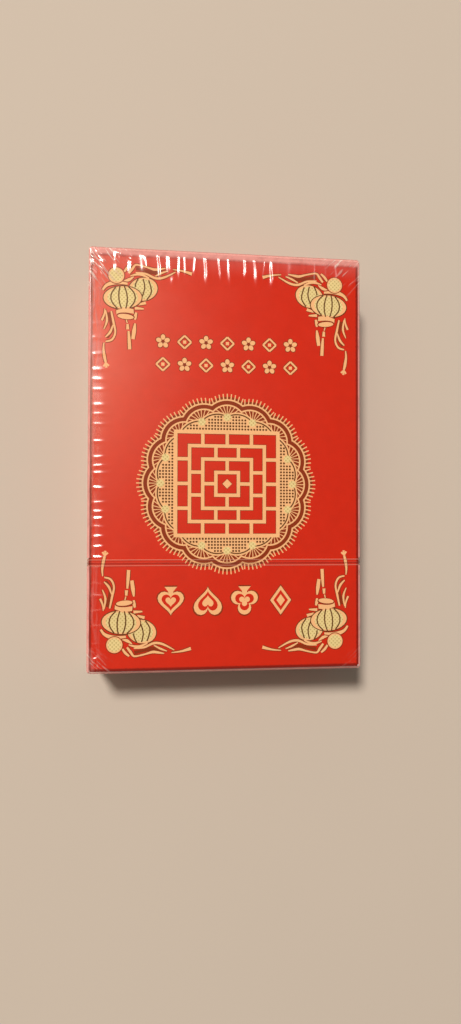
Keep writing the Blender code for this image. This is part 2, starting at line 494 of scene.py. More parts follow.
@once
def card_back():
    """Underside of a card: a red lattice inside a white border."""
    made, tree, shader = start_material("card_back")
    place = object_place(tree)
    x, y, _ = split_axes(tree, place)
    wide, long = ((half, half + BACK_EDGE) for half in BACK_HALF)
    slants = (plus(tree, x, y), minus(tree, x, y))
    waves = [maths(tree, "SINE", times(tree, slant, BACK_TURNS)) for slant in slants]
    lattice = ramp(tree, magnitude(tree, times(tree, *waves)), (0.10, 0.22))
    inside_x = ramp(tree, magnitude(tree, x), wide, (1.0, 0.0))
    inside_y = ramp(tree, magnitude(tree, minus(tree, y, BACK_MIDDLE)), long, (1.0, 0.0))
    share = times(tree, lattice, times(tree, inside_x, inside_y))
    tooth = noise(tree, place, scale=5200.0, detail=4.0)
    link_shader(
        tree, shader, roughness=ramp(tree, tooth, (0.2, 0.8), CARD_ROUGHNESS),
        colour=blend_colours(tree, share, opaque(colours().card_white), opaque(colours().red_ink)),
    )
    return made


# The clear film: its gloss, and the pinks of its veil: milky film with painted highlights and painted
# reflection, tinted as if the red board showed through

FILM_INDEX = 1.42
FILM_ROUGHNESS = (0.14, 0.20)
VEIL_ROUGHNESS = 0.55
# Pinks of the veil: milky film with painted highlight and painted reflection, tinted as if the red board
# showed through
MILKY_HIGHLIGHT_PINK = (0.95, 0.42, 0.37, 1.0)
# Pale pink of the scratch lines, partly painted highlight
SCRATCH_HIGHLIGHT_PINK = (0.95, 0.68, 0.60, 1.0)
TAPE_EDGE_PINK = (0.92, 0.46, 0.34, 1.0)
TAPE_LINE_RED = (0.16, 0.004, 0.002, 1.0)

# Where the veil begins and is full, in metres short of an edge: below zero at the near and left ones
SIDE_LIP = (0.00045, 0.00025)
NEAR_LIP = (-0.00022, -0.00005)
FAR_LIP = (0.0018, 0.0009)
TOP_BAND = (0.0010, 0.0005)
FAR_HAZE = (0.0055, 0.0010)
LEFT_REFLECTION_HAZE = (-0.0034, -0.0008)

# The same for the tape's edges in millimetres, and the inner and outer half width of its dark line
TAPE_EDGE = (0.24, 0.10)
TAPE_LINE = (0.06, 0.26)
TAPE_LINE_SHIFT = -0.12

# Strengths of the veil: its lips are milky film with painted highlight, its left haze is painted reflection
NEAR_LIP_HIGHLIGHT_SHARE = 0.55
LIP_HIGHLIGHT_SHARE = 0.58
FOLD_SHARE = 0.06
FAR_HAZE_SHARE = 0.07
LEFT_REFLECTION_HAZE_SHARE = 0.24
TAPE_EDGE_SHARE = 0.19
TAPE_LINE_SHARE = 0.16

# Scratched corners of the face, drawn as pale lines that are partly painted highlight: side, end, turn of
# the lines, their reach in metres and their strength
SCRATCH_HIGHLIGHT_CORNERS = (
    (-1, SLEEVE_HIGH.y, -0.9, 0.011, 0.42), (1, SLEEVE_HIGH.y, 0.8, 0.010, 0.22),
    (-1, CAP_LOW.y, -0.75, 0.0065, 0.13), (1, CAP_LOW.y, 0.75, 0.005, 0.05),
)


def film_material(name, veil):
    """Clear film: the lamps show in its outer side by Fresnel, and a thin veil lies over it: milky film
    with painted highlights and painted reflection.

    veil takes the tree and gives the veil's colour and share.
    """
    made, tree, veil_shader = start_material(name)
    output = next(n for n in tree.nodes if n.type == "OUTPUT_MATERIAL")
    colour, share = veil(tree)
    tree.links.new(colour, veil_shader.inputs["Base Color"])
    tree.links.new(share, veil_shader.inputs["Alpha"])
    veil_shader.inputs["Roughness"].default_value = VEIL_ROUGHNESS
    veil_shader.inputs["Specular IOR Level"].default_value = 0.0
    smear = noise(tree, object_place(tree), scale=180.0, detail=3.0)
    gloss = add_node(tree, "ShaderNodeBsdfGlossy", {"Color": (1.0, 1.0, 1.0, 1.0)})
    tree.links.new(ramp(tree, smear, (0.3, 0.7), FILM_ROUGHNESS), gloss.inputs["Roughness"])
    behind = add_node(tree, "ShaderNodeNewGeometry").outputs["Backfacing"]
    fresnel = add_node(tree, "ShaderNodeFresnel", {"IOR": FILM_INDEX}).outputs[0]
    mirror = times(tree, fresnel, minus(tree, 1.0, behind))
    mixed = add_node(tree, "ShaderNodeMixShader", {0: mirror, 1: veil_shader.outputs[0], 2: gloss.outputs[0]})
    tree.links.new(mixed.outputs[0], output.inputs["Surface"])
    return made


def towards(tree, value, edge, reach, strength=1.0):
    """A share that grows towards an edge, over its reach."""
    return ramp(tree, value, (edge - reach[0], edge - reach[1]), (0.0, strength))


def corner_scratch_highlights(tree, corner, turn, reach):
    """Fine scratch lines round a corner of the face, along one way, as a share. They are partly painted
    highlight.
    """
    place = object_place(tree)
    away = vector_maths(tree, "DISTANCE", place, corner)["Value"]
    values = {"Vector": place, "Location": corner, "Rotation": (0.0, 0.0, turn), "Scale": (14.0, 1.0, 1.0)}
    drawn = add_node(tree, "ShaderNodeMapping", values, vector_type="TEXTURE").outputs[0]
    lines = ramp(tree, noise(tree, drawn, scale=2400.0, detail=2.0), (0.57, 0.64))
    return times(tree, lines, ramp(tree, away, (0.003, reach), (1.0, 0.0)))


@once
def clear_wrap():
    """Clear film: milky with painted highlight where it stands off round the face, painted reflection haze
    on the left, and scratch lines at the corners that are partly painted highlight.
    """

    def veil(tree):
        place = object_place(tree)
        x, y, z = split_axes(tree, place)
        aside = towards(tree, magnitude(tree, x), SLEEVE_HIGH.x, SIDE_LIP)
        near = towards(tree, y, CAP_LOW.y, NEAR_LIP, NEAR_LIP_HIGHLIGHT_SHARE)
        far = towards(tree, y, SLEEVE_HIGH.y, FAR_LIP)
        upper = towards(tree, z, SLEEVE_HIGH.z, TOP_BAND)
        uneven = ramp(tree, noise(tree, place, scale=420.0, detail=2.0), (0.3, 0.6), (0.6, 1.0))
        # Painted highlight: milky lips round the face, drawn pale pink
        lips = maths(tree, "MAXIMUM", maths(tree, "MAXIMUM", aside, near), far)
        milky_highlight = times(tree, lips, times(tree, upper, uneven))
        folds = wear_and_shade_edges(tree, CAP_LOW, SLEEVE_HIGH, 0.0006, broken=0.4)
        total = times(tree, milky_highlight, LIP_HIGHLIGHT_SHARE, times(tree, folds, FOLD_SHARE))
        # Painted reflection: streaky pale haze along the left edge, added to a faint milky band at the far
        # end
        drawn = noise(tree, stretched(tree, place, (1.0, 0.12, 1.0)), scale=1700.0, detail=3.0)
        reflection_streaks = times(tree, ramp(tree, drawn, (0.42, 0.62)), ramp(tree, y, (0.005, 0.030), (0.35, 1.0)))
        left = towards(tree, x, -SLEEVE_HIGH.x, LEFT_REFLECTION_HAZE, LEFT_REFLECTION_HAZE_SHARE)
        haze_and_reflection = times(tree, left, reflection_streaks, towards(tree, y, SLEEVE_HIGH.y, FAR_HAZE, FAR_HAZE_SHARE))
        total = times(tree, haze_and_reflection, upper, total)
        # Scratch lines at the corners, drawn pale, partly painted highlight
        scratch_highlights = 0.0
        for side, end, turn, reach, strength in SCRATCH_HIGHLIGHT_CORNERS:
            lines = corner_scratch_highlights(tree, (side * SLEEVE_HIGH.x, end, SLEEVE_HIGH.z), turn, reach)
            scratch_highlights = times(tree, lines, strength, scratch_highlights)
        scratch_highlights = times(tree, scratch_highlights, upper)
        colour = blend_colours(tree, ramp(tree, scratch_highlights, (0.0, 0.1)), MILKY_HIGHLIGHT_PINK, SCRATCH_HIGHLIGHT_PINK)
        return colour, plus(tree, total, scratch_highlights)

    return film_material("clear_wrap", veil)


@once
def tear_tape():
    """Clear tape: two fine pale edges and a dark line near its middle."""

    def veil(tree):
        y = split_axes(tree, object_place(tree))[1]
        half = TAPE_WIDTH / 2
        middle = TEAR_CAP - half
        off = magnitude(tree, minus(tree, y, middle * MM))
        edge = ramp(tree, off, [(half - reach) * MM for reach in TAPE_EDGE])
        off_line = magnitude(tree, minus(tree, y, (middle + TAPE_LINE_SHIFT) * MM))
        line = ramp(tree, off_line, [half_width * MM for half_width in TAPE_LINE], (1.0, 0.0))
        colour = blend_colours(tree, line, TAPE_EDGE_PINK, TAPE_LINE_RED)
        return colour, times(tree, edge, TAPE_EDGE_SHARE, times(tree, line, TAPE_LINE_SHARE))

    return film_material("tear_tape", veil)


@once
def plain_floor():
    made, tree, shader = start_material("plain_floor")
    cloud = noise(tree, object_place(tree), scale=9.0, detail=3.0)
    light, dark = opaque(colours().floor), shaded(colours().floor, 0.95)
    link_shader(tree, shader, colour=blend_colours(tree, cloud, light, dark))
    shader.inputs["Roughness"].default_value = 0.85
    shader.inputs["Specular IOR Level"].default_value = 0.2
    return made


# Mesh helpers. Points nearer than this many metres are at one place, and a face whose normal runs this far
# along a way faces that way

SAME_PLACE = 1e-6
FACING = 0.7


def make_piece(name, bm, materials, smooth=None):
    """Turns a bmesh into an object at the origin. Edges under smooth degrees are shaded smooth."""
    mesh = bpy.data.meshes.new(name)
    bm.to_mesh(mesh)
    bm.free()
    for material in materials:
        mesh.materials.append(material)
    if smooth is not None:
        mesh.shade_smooth()
        mesh.set_sharp_from_angle(angle=math.radians(smooth))
    piece = bpy.data.objects.new(name, mesh)
    bpy.context.scene.collection.objects.link(piece)
    return piece


def carry(piece, body, slot, *nodes):
    """Lets a piece ride on a body, and hides the solids that it stands for. slot is not used."""
    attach(piece, body)
    if nodes:
        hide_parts(*nodes)
    return piece


def add_box(bm, low, high):
    """A box between two corners. Returns its vertices."""
    verts = bmesh.ops.create_cube(bm, size=1.0)["verts"]
    bmesh.ops.scale(bm, vec=high - low, verts=verts)
    bmesh.ops.translate(bm, vec=(low + high) / 2, verts=verts)
    return verts


def round_edges(bm, edges, offset, segments):
    """Rounds edges, and returns what came of them."""
    return bmesh.ops.bevel(
        bm, geom=edges, offset=offset, affect="EDGES", segments=segments, profile=0.5, material=-1,
    )


def is_upright(edge):
    return abs(edge.verts[0].co.z - edge.verts[1].co.z) > SAME_PLACE


def new_verts(made):
    """The vertices among what an operator made."""
    return [item for item in made if isinstance(item, bmesh.types.BMVert)]


def flat(point):
    return Vector((*point, 0.0))


def smooth_line(points, steps):
    """Points along a smooth line through a few given ones."""
    spots = [flat(p) for p in points]
    line = [spots[0]]
    for i in range(len(spots) - 1):
        start, end = spots[i], spots[i + 1]
        before = spots[max(i - 1, 0)]
        after = spots[min(i + 2, len(spots) - 1)]
        leave = start + (end - before) / 6
        arrive = end - (after - start) / 6
        line += interpolate_bezier(start, leave, arrive, end, steps + 1)[1:]
    return line


def spread_values(values, count):
    """count numbers read evenly along a short list."""
    if isinstance(values, (int, float)):
        return [values] * count
    read = []
    for i in range(count):
        at = i / (count - 1) * (len(values) - 1)
        k = min(int(at), len(values) - 2)
        read.append(values[k] + (values[k + 1] - values[k]) * (at - k))
    return read


def side_ways(line):
    """Unit vectors across a flat line at each of its points."""
    found = []
    for i in range(len(line)):
        ahead = line[min(i + 1, len(line) - 1)] - line[max(i - 1, 0)]
        found.append(Vector((-ahead.y, ahead.x, 0.0)).normalized())
    return found


def lay_grid(bm, rows, ink):
    """A flat band of faces through rows of points, one row beside the next."""
    across, along = len(rows) - 1, len(rows[0]) - 1
    made = bmesh.ops.create_grid(bm, x_segments=along, y_segments=across, size=0.5)
    for vert in made["verts"]:
        i = round((vert.co.x + 0.5) * along)
        j = round((vert.co.y + 0.5) * across)
        vert.co = rows[j][i]
    for face in {f for v in made["verts"] for f in v.link_faces}:
        face.material_index = ink
    return made["verts"]


def stroke(bm, points, half_widths, height, ink, steps=5):
    """A printed brush stroke through a few points, with a width that changes along it."""
    line = smooth_line(points, steps) if steps else [flat(p) for p in points]
    widths = spread_values(half_widths, len(line))
    lift = Vector((0.0, 0.0, height))
    rows = [[], []]
    for spot, width, side in zip(line, widths, side_ways(line)):
        rows[0].append(spot - side * width + lift)
        rows[1].append(spot + side * width + lift)
    return lay_grid(bm, rows, ink)


def disc(bm, centre, radii, height, ink, turn=0.0, segments=24):
    """A printed round or oval spot."""
    place = Matrix.Translation((*centre, height)) @ Matrix.Rotation(turn, 4, "Z")
    place = place @ Matrix.Diagonal((radii[0], radii[1], 1.0, 1.0))
    made = bmesh.ops.create_circle(bm, cap_ends=True, radius=1.0, segments=segments, matrix=place)
    for face in made["verts"][0].link_faces:
        face.material_index = ink
    return made["verts"]


def filled(bm, outline, height, ink):
    """A printed spot with a closed outline."""
    verts = [bm.verts.new((p[0], p[1], height)) for p in outline]
    face = bmesh.ops.contextual_create(bm, geom=verts)["faces"][0]
    face.material_index = ink
    return verts


def ring(bm, inner, outer, height, ink, steps):
    """A printed band between two outlines, each given as radius by angle."""
    rows = [[], []]
    for i in range(steps + 1):
        angle = math.tau * i / steps
        for row, radius in zip(rows, (inner, outer)):
            row.append(Vector((radius(angle) * math.cos(angle), radius(angle) * math.sin(angle), height)))
    verts = lay_grid(bm, rows, ink)
    bmesh.ops.remove_doubles(bm, verts=verts, dist=1e-5)


# Print, drawn flat in millimetres and then pressed onto its panel

LAYER_STEPS = 23
LAYER_SPREAD = 0.7
UNDER = 0.3
STROKES = itertools.count()
BOARD_INK_SUNK = -0.004

# The large panels' print is drawn a little larger than it's pressed
PRINT_SCALE = Matrix.Diagonal((0.985, 0.985, 1.0, 1.0))


def layer(number):
    """Height of a layer of ink over the board. Each stroke lies a hair off the last, so none lie level."""
    hair = next(STROKES) % LAYER_STEPS / LAYER_STEPS
    return (number + LAYER_SPREAD * hair) * sizes().ink_layer / MM


def press_ink(bm, place, sunk=BOARD_INK_SUNK):
    """Gives flat ink its thickness, down into the board, and moves it from millimetres to its place."""
    made = bmesh.ops.extrude_face_region(bm, geom=bm.faces[:])
    for vert in new_verts(made["geom"]):
        vert.co.z = sunk
    bmesh.ops.transform(bm, matrix=place @ Matrix.Scale(MM, 4), verts=bm.verts[:])
    bmesh.ops.recalc_face_normals(bm, faces=bm.faces[:])


def inks():
    return [brown_print(), gold_print(), red_print(), pale_print(), dark_print()]


def printed(name, bm, place, body="carton"):
    """Presses flat ink onto a panel, as a piece of its own."""
    press_ink(bm, place)
    return carry(make_piece(name, bm, inks()), body, "printed_board")


def front_place():
    return Matrix.Translation((0.0, 0.0, SHELL_HIGH.z)) @ PRINT_SCALE


def back_place():
    return Matrix.Translation((0.0, 0.0, SHELL_LOW.z)) @ Matrix.Rotation(math.pi, 4, "Y") @ PRINT_SCALE


def side_place(side):
    """A side panel: the print's x runs along the carton, its y up the side."""
    where = SHELL_HIGH.x if side > 0 else SHELL_LOW.x
    middle = (SHELL_LOW.z + SHELL_HIGH.z) / 2
    turn = Matrix(((0, 0, side, 0), (side, 0, 0, 0), (0, 1, 0, 0), (0, 0, 0, 1)))
    return Matrix.Translation((where, 0.0, middle)) @ turn


def end_place(end):
    """The glued end or the lid: the print's x runs across the carton, its y up the end."""
    where = SHELL_HIGH.y if end > 0 else LID_LOW.y
    middle = (LID_LOW.z + LID_HIGH.z) / 2
    turn = Matrix(((-end, 0, 0, 0), (0, 0, end, 0), (0, 1, 0, 0), (0, 0, 0, 1)))
    return Matrix.Translation((0.0, where, middle)) @ turn


# Medallion: a lace of sixteen lobes round a window lattice, in millimetres from its middle

LACE_CENTRE = Vector((0.0, -5.1, 0.0))
LOBES = 16
LOBE_STEP = math.tau / LOBES
LOBE_CENTRE = 13.25
EDGE_STEPS = 14
ARC_STEPS = 12
BAND_MIDDLE = 4.68
BAND_HALF = 0.42
LINE_HALF = 0.17
HUB = 14.65
HUB_ARC_RISE = 1.05
HUB_ARC_LINES = ((-0.04, 0.24, DARK_INK), (0.24, 0.58, GOLD_INK))
TICKS = 9
TICK_LENGTH = 1.2
TICK_HALF = 0.125
TICK_LEAN = 0.6
FRINGE_GROUND = 0.55
GROUND_OVERLAP = 0.3
GROUND_LEAST = 0.5
RAYS = 9
RAY_HALVES = (0.055, 0.11)
RAY_SPREAD = math.radians(75)
RAY_CHECKS = 10
STAR_POINTS = 12
STAR_RADIUS = 1.0
STAR_INNER = 0.72
FRAME_OUTER = 11.75
FRAME_INNER = 10.95
FRAME_ROOM = 0.4
DOT_STEP = 0.67
DOT_RADIUS = 0.24
DOT_ROOM_ARC = 0.34
DOT_ROOM_STAR = 0.1
DOT_ROOM_FRAME = 0.3
LATTICE_HALF = 0.38
LATTICE_LINE = 0.12
LATTICE_FRAMES = (8.3, 5.4, 2.5)
LATTICE_TIES = ((-5.4, 0.0, 5.4), (-2.5, 2.5), (0.0,))
LATTICE_HEART = ((1.2, 1, GROUND_INK), (1.05, 2, GOLD_INK))


def lobe_angle(angle):
    """Angle from the nearest lobe's middle."""
    return (angle + LOBE_STEP / 2) % LOBE_STEP - LOBE_STEP / 2


def scallop(radius):
    """Outline through circles of this radius round the lobes' centres."""

    def outline(angle):
        off = lobe_angle(angle)
        return LOBE_CENTRE * math.cos(off) + math.sqrt(radius**2 - (LOBE_CENTRE * math.sin(off)) ** 2)

    return outline


def hub_arcs(shift):
    """Outline of arcs that bulge from hub to hub, moved outwards."""
    half_chord = HUB * math.sin(LOBE_STEP / 2)
    radius = (half_chord**2 + HUB_ARC_RISE**2) / (2 * HUB_ARC_RISE)
    centre = HUB * math.cos(LOBE_STEP / 2) + HUB_ARC_RISE - radius

    def outline(angle):
        off = lobe_angle(angle + LOBE_STEP / 2)
        return centre * math.cos(off) + math.sqrt((radius + shift) ** 2 - (centre * math.sin(off)) ** 2)

    return outline


def square(half):
    """Outline of a square."""
    return lambda angle: half / max(abs(math.cos(angle)), abs(math.sin(angle)))


def outermost(first, second):
    """Outline that follows the farther of two."""
    return lambda angle: max(first(angle), second(angle))


def polar(radius, angle):
    return Vector((radius * math.cos(angle), radius * math.sin(angle), 0.0))


def from_middle(point):
    """How far a point lies from the middle, measured as a square does."""
    return max(abs(point.x), abs(point.y))


def outside_frame(point):
    return from_middle(point) >= FRAME_INNER + FRAME_ROOM


def star_outline(centre, points, radius, inner_share, turn=math.pi / 2):
    """Outline of a star."""
    outline = []
    for i in range(2 * points):
        reach = radius if i % 2 == 0 else radius * inner_share
        outline.append((centre + polar(reach, turn + math.pi * i / points)).xy)
    return outline


def lace_edge(bm):
    """The scalloped band, its two gold lines and the fringe."""
    steps = LOBES * EDGE_STEPS
    half = LOBE_STEP / 2
    inner_line = BAND_MIDDLE - BAND_HALF - 2 * LINE_HALF
    outer_line = BAND_MIDDLE + BAND_HALF + 2 * LINE_HALF
    ground_edge = outermost(square(FRAME_INNER + GROUND_OVERLAP), hub_arcs(-GROUND_OVERLAP))
    ring(bm, ground_edge, scallop(outer_line + FRINGE_GROUND), layer(1), GROUND_INK, steps)
    ring(bm, scallop(inner_line), scallop(inner_line + 2 * LINE_HALF), layer(2), GOLD_INK, steps)
    ring(bm, scallop(outer_line - 2 * LINE_HALF), scallop(outer_line), layer(2), GOLD_INK, steps)
    cusp = scallop(outer_line)(half)
    spread = math.atan2(cusp * math.sin(half), cusp * math.cos(half) - LOBE_CENTRE)
    for lobe in range(LOBES):
        out = lobe * LOBE_STEP
        centre = polar(LOBE_CENTRE, out)
        for tick in range(TICKS):
            off = spread * (2 * (tick + 0.5) / TICKS - 1)
            root = centre + polar(outer_line - LINE_HALF, out + off)
            tip = root + polar(LINE_HALF + TICK_LENGTH, out + TICK_LEAN * off)
            stroke(bm, (root.xy, tip.xy), TICK_HALF, layer(3), GOLD_INK, steps=0)


def lace_fans(bm):
    """Rays from each hub to the inner gold line."""
    reach = BAND_MIDDLE - BAND_HALF - LINE_HALF
    lead = HUB - LOBE_CENTRE
    side_room = HUB * math.sin(LOBE_STEP / 2)
    for lobe in range(LOBES):
        out = lobe * LOBE_STEP
        hub = polar(HUB, out)
        for ray in range(RAYS):
            turn = RAY_SPREAD * (2 * ray / (RAYS - 1) - 1)
            length = -lead * math.cos(turn) + math.sqrt(reach**2 - (lead * math.sin(turn)) ** 2)
            lean = abs(turn) - LOBE_STEP / 2
            if lean > 0:
                length = min(length, side_room / math.sin(lean))
            line = [hub + polar(length * i / RAY_CHECKS, out + turn) for i in range(RAY_CHECKS + 1)]
            line = [p.xy for p in line if outside_frame(p)]
            if len(line) > 1:
                stroke(bm, (line[0], line[-1]), RAY_HALVES, layer(3), GOLD_INK, steps=0)
        if outside_frame(hub):
            filled(bm, star_outline(hub, STAR_POINTS, STAR_RADIUS, STAR_INNER), layer(5), PALE_INK)


def lace_ground(bm):
    """The gold ground between the hubs and the frame, with its arcs and rows of dots."""
    steps = LOBES * ARC_STEPS
    outline = outermost(square(FRAME_INNER + GROUND_LEAST), hub_arcs(0.0))
    ring(bm, square(FRAME_INNER + FRAME_ROOM), outline, layer(2), GOLD_INK, steps)
    for low, high, ink in HUB_ARC_LINES:
        edge = hub_arcs((low + high) / 2)
        line = [polar(edge(math.tau * i / steps), math.tau * i / steps) for i in range(steps + 1)]
        for outside, points in itertools.groupby(line, outside_frame):
            run = [p.xy for p in points]
            if outside and len(run) > 2:
                stroke(bm, run, (high - low) / 2, layer(4), ink, steps=0)
    reach = int(HUB / DOT_STEP) + 1
    columns = range(-reach, reach + 1)
    for i, j in itertools.product(columns, columns):
        spot = Vector((i * DOT_STEP, j * DOT_STEP, 0.0))
        angle = math.atan2(spot.y, spot.x)
        clear = spot.length < hub_arcs(0.0)(angle) - DOT_ROOM_ARC
        hub_angle = round(angle / LOBE_STEP) * LOBE_STEP
        off_hub = (spot - polar(HUB, hub_angle)).length > STAR_RADIUS + DOT_ROOM_STAR
        if clear and off_hub and from_middle(spot) > FRAME_OUTER + DOT_ROOM_FRAME:
            disc(bm, spot.xy, (DOT_RADIUS, DOT_RADIUS), layer(4), DARK_INK, segments=8)


def lattice_frame(bm, inner, outer, number):
    """A square of gold with a dark line along both its edges."""
    steps = 8
    ring(bm, square(inner - LATTICE_LINE), square(outer + LATTICE_LINE), layer(UNDER), GROUND_INK, steps)
    ring(bm, square(inner), square(outer), layer(number), GOLD_INK, steps)


def tie(bm, start, end):
    """A bar between two frames of the lattice."""
    stroke(bm, (start, end), LATTICE_HALF + LATTICE_LINE, layer(1), GROUND_INK, steps=0)
    stroke(bm, (start, end), LATTICE_HALF, layer(2), GOLD_INK, steps=0)


def window_lattice(bm):
    """Nested frames tied to each other, as in a wooden window."""
    lattice_frame(bm, FRAME_INNER, FRAME_OUTER, 6)
    for half in LATTICE_FRAMES:
        lattice_frame(bm, half - LATTICE_HALF, half + LATTICE_HALF, 3)
    outer = (FRAME_INNER, *LATTICE_FRAMES)
    for big, small, places in zip(outer, LATTICE_FRAMES, LATTICE_TIES):
        for place, side in itertools.product(places, (-1, 1)):
            tie(bm, (place, side * small), (place, side * big))
            tie(bm, (side * small, place), (side * big, place))
    for radius, number, ink in LATTICE_HEART:
        disc(bm, (0.0, 0.0), (radius, radius), layer(number), ink, segments=4)


def medallion(name, place):
    bm = bmesh.new()
    lace_edge(bm)
    lace_fans(bm)
    lace_ground(bm)
    window_lattice(bm)
    bmesh.ops.translate(bm, vec=LACE_CENTRE, verts=bm.verts[:])
    return printed(name, bm, place)


# Lantern corners, in millimetres from the middle of the face. One is drawn and mirrored to the others.
# A lantern is given by its centre, half sizes and turn

LANTERN = ((22.95, 35.15), (4.1, 2.45), math.radians(-4))
LANTERN_RIM = 0.2
LANTERN_INSET = (0.8, 0.25)
LANTERN_SEGMENTS = 40
LANTERN_RIBS = (-0.66, -0.24, 0.2, 0.62)
REAR_LANTERN = ((18.55, 37.15), (3.15, 2.5), math.radians(-14))
REAR_RIM = 0.18
REAR_INSET = (0.7, 0.3)
REAR_SEGMENTS = 36
NECK_RING = ((22.3, 31.1), (1.97, 0.76))
NECK_CAP = ((22.3, 31.0), (1.75, 0.55))
NECK_TURN = math.radians(5)
NECK_EDGE = 0.16
NECK_MIDDLE = 22.4
BALL_CENTRE = (24.35, 39.95)
BALL_RADII = (1.9, 1.72, 1.42)
BALL_SEGMENTS = 28
RIB_CLOSING = 0.52
RIB_HALF = 0.14


def lantern_body(bm, centre, radii, turn, rim, inset, number, segments):
    """A lantern's dark rim, its gold body and the pale paper on it, smaller by its inset."""
    paper = (radii[0] - inset[0], radii[1] - inset[1])
    disc(bm, centre, tuple(r + rim for r in radii), layer(number), DARK_INK, turn, segments)
    disc(bm, centre, radii, layer(number + 1), GOLD_INK, turn, segments)
    disc(bm, centre, paper, layer(number + 2), PALE_INK, turn, segments)


def lantern_ribs(bm, centre, radii, turn, shares, number):
    """Ribs of a paper lantern: bowed lines from its neck to its foot, closer together at both."""
    turned = Matrix.Rotation(turn, 2)
    for share in shares:
        reach = radii[1] * math.sqrt(1 - (share * RIB_CLOSING) ** 2)
        points = []
        for up in (-1.0, -0.5, 0.0, 0.5, 1.0):
            across = radii[0] * share * (1 - (1 - RIB_CLOSING) * up**2)
            spot = turned @ Vector((across, reach * up))
            points.append((centre[0] + spot.x, centre[1] + spot.y))
        stroke(bm, points, RIB_HALF, layer(number), DARK_INK, steps=3)


def outlined(bm, points, half_widths, number=1, edge=0.17, steps=5):
    """A gold stroke with a dark line round it."""
    wide = [w + edge for w in half_widths]
    stroke(bm, points, wide, layer(number), GROUND_INK, steps)
    stroke(bm, points, half_widths, layer(number + 1), GOLD_INK, steps)


def rear_lantern(bm):
    """The lantern behind: body, ribs, and what shows of its neck and foot."""
    lantern_body(bm, *REAR_LANTERN, REAR_RIM, REAR_INSET, 1, REAR_SEGMENTS)
    for points in (
        ((17.75, 34.85), (16.75, 36.7), (17.35, 39.2)),
        ((18.75, 35.5), (18.2, 37.5), (18.55, 39.4)),
        ((20.25, 37.5), (20.15, 38.3), (19.6, 39.5)),
    ):
        stroke(bm, points, RIB_HALF, layer(4), DARK_INK)
    outlined(bm, ((21.3, 39.95), (19.3, 40.4), (17.25, 39.65)), (0.12, 0.3, 0.12))
    outlined(bm, ((20.3, 32.95), (18.4, 32.85)), (0.35, 0.14))
    outlined(bm, ((19.5, 33.75), (17.95, 34.2)), (0.2, 0.34))
    outlined(bm, ((22.7, 38.75), (21.6, 39.1), (20.6, 39.8)), (0.15, 0.34, 0.1), 3)


def front_lantern(bm):
    """The lantern in front: body, ribs, foot, neck, its two tassels and the ball over it."""
    lantern_body(bm, *LANTERN, LANTERN_RIM, LANTERN_INSET, 5, LANTERN_SEGMENTS)
    lantern_ribs(bm, *LANTERN, LANTERN_RIBS, 8)
    foot = ((27.25, 36.6), (26.5, 37.6), (25.2, 38.2), (23.6, 38.35), (21.9, 38.2))
    outlined(bm, foot, (0.2, 0.42, 0.22), 4, edge=0.2)
    neck = ((24.25, 31.35), (24.35, 32.3), (22.5, 32.95), (20.6, 32.7), (20.5, 31.7), (22.3, 31.9))
    wider = [(x + NECK_EDGE * (x - NECK_MIDDLE) / 2, y + NECK_EDGE) for x, y in neck]
    filled(bm, wider, layer(5), GROUND_INK)
    filled(bm, neck, layer(6), GOLD_INK)
    disc(bm, *NECK_RING, layer(7), GROUND_INK, NECK_TURN)
    disc(bm, *NECK_CAP, layer(8), GOLD_INK, NECK_TURN)
    outlined(bm, ((22.2, 30.5), (21.95, 29.6)), (0.13, 0.13))
    outlined(bm, ((21.87, 29.4), (21.83, 28.25)), (0.24, 0.34))
    outlined(bm, ((21.65, 27.9), (21.5, 25.8), (21.4, 23.9)), (0.2, 0.34, 0.36))
    outlined(bm, ((20.0, 32.0), (20.2, 31.2), (20.25, 30.4)), (0.2, 0.36, 0.2))
    outlined(bm, ((20.25, 29.6), (20.45, 28.0), (20.7, 26.15)), (0.16, 0.42, 0.36))
    for number, (radius, ink) in enumerate(zip(BALL_RADII, (GROUND_INK, GOLD_INK, PALE_INK)), start=6):
        disc(bm, BALL_CENTRE, (radius, radius), layer(number), ink, segments=BALL_SEGMENTS)


def end_ribbon(bm):
    """The ribbon that runs along the carton's end."""
    shade = ((20.1, 41.65), (18.2, 41.3), (16.2, 40.85), (14.4, 41.15), (12.9, 41.5))
    stroke(bm, shade, (0.42, 0.3, 0.42, 0.24, 0.06), layer(UNDER), GROUND_INK)
    upper = ((20.2, 40.75), (18.0, 40.55), (15.9, 39.7), (14.0, 39.95), (11.5, 41.25))
    outlined(bm, upper, (0.12, 0.22, 0.26, 0.24, 0.1))
    outlined(bm, ((15.9, 40.15), (14.5, 40.9), (13.1, 41.45)), (0.12, 0.22, 0.1))
    lower = ((18.95, 42.3), (17.7, 42.0), (16.2, 41.6), (15.1, 41.7), (13.7, 41.95))
    outlined(bm, lower, (0.18, 0.18, 0.28, 0.26, 0.1))
    outlined(bm, ((12.1, 41.8), (9.95, 41.55), (7.9, 41.0)), (0.08, 0.2, 0.36))
    outlined(bm, ((22.65, 40.8), (22.0, 41.7), (21.2, 42.4)), (0.2, 0.28, 0.18))
    outlined(bm, ((21.65, 40.5), (20.9, 41.5), (20.2, 42.4), (18.95, 42.3)), (0.22, 0.28, 0.2, 0.16))


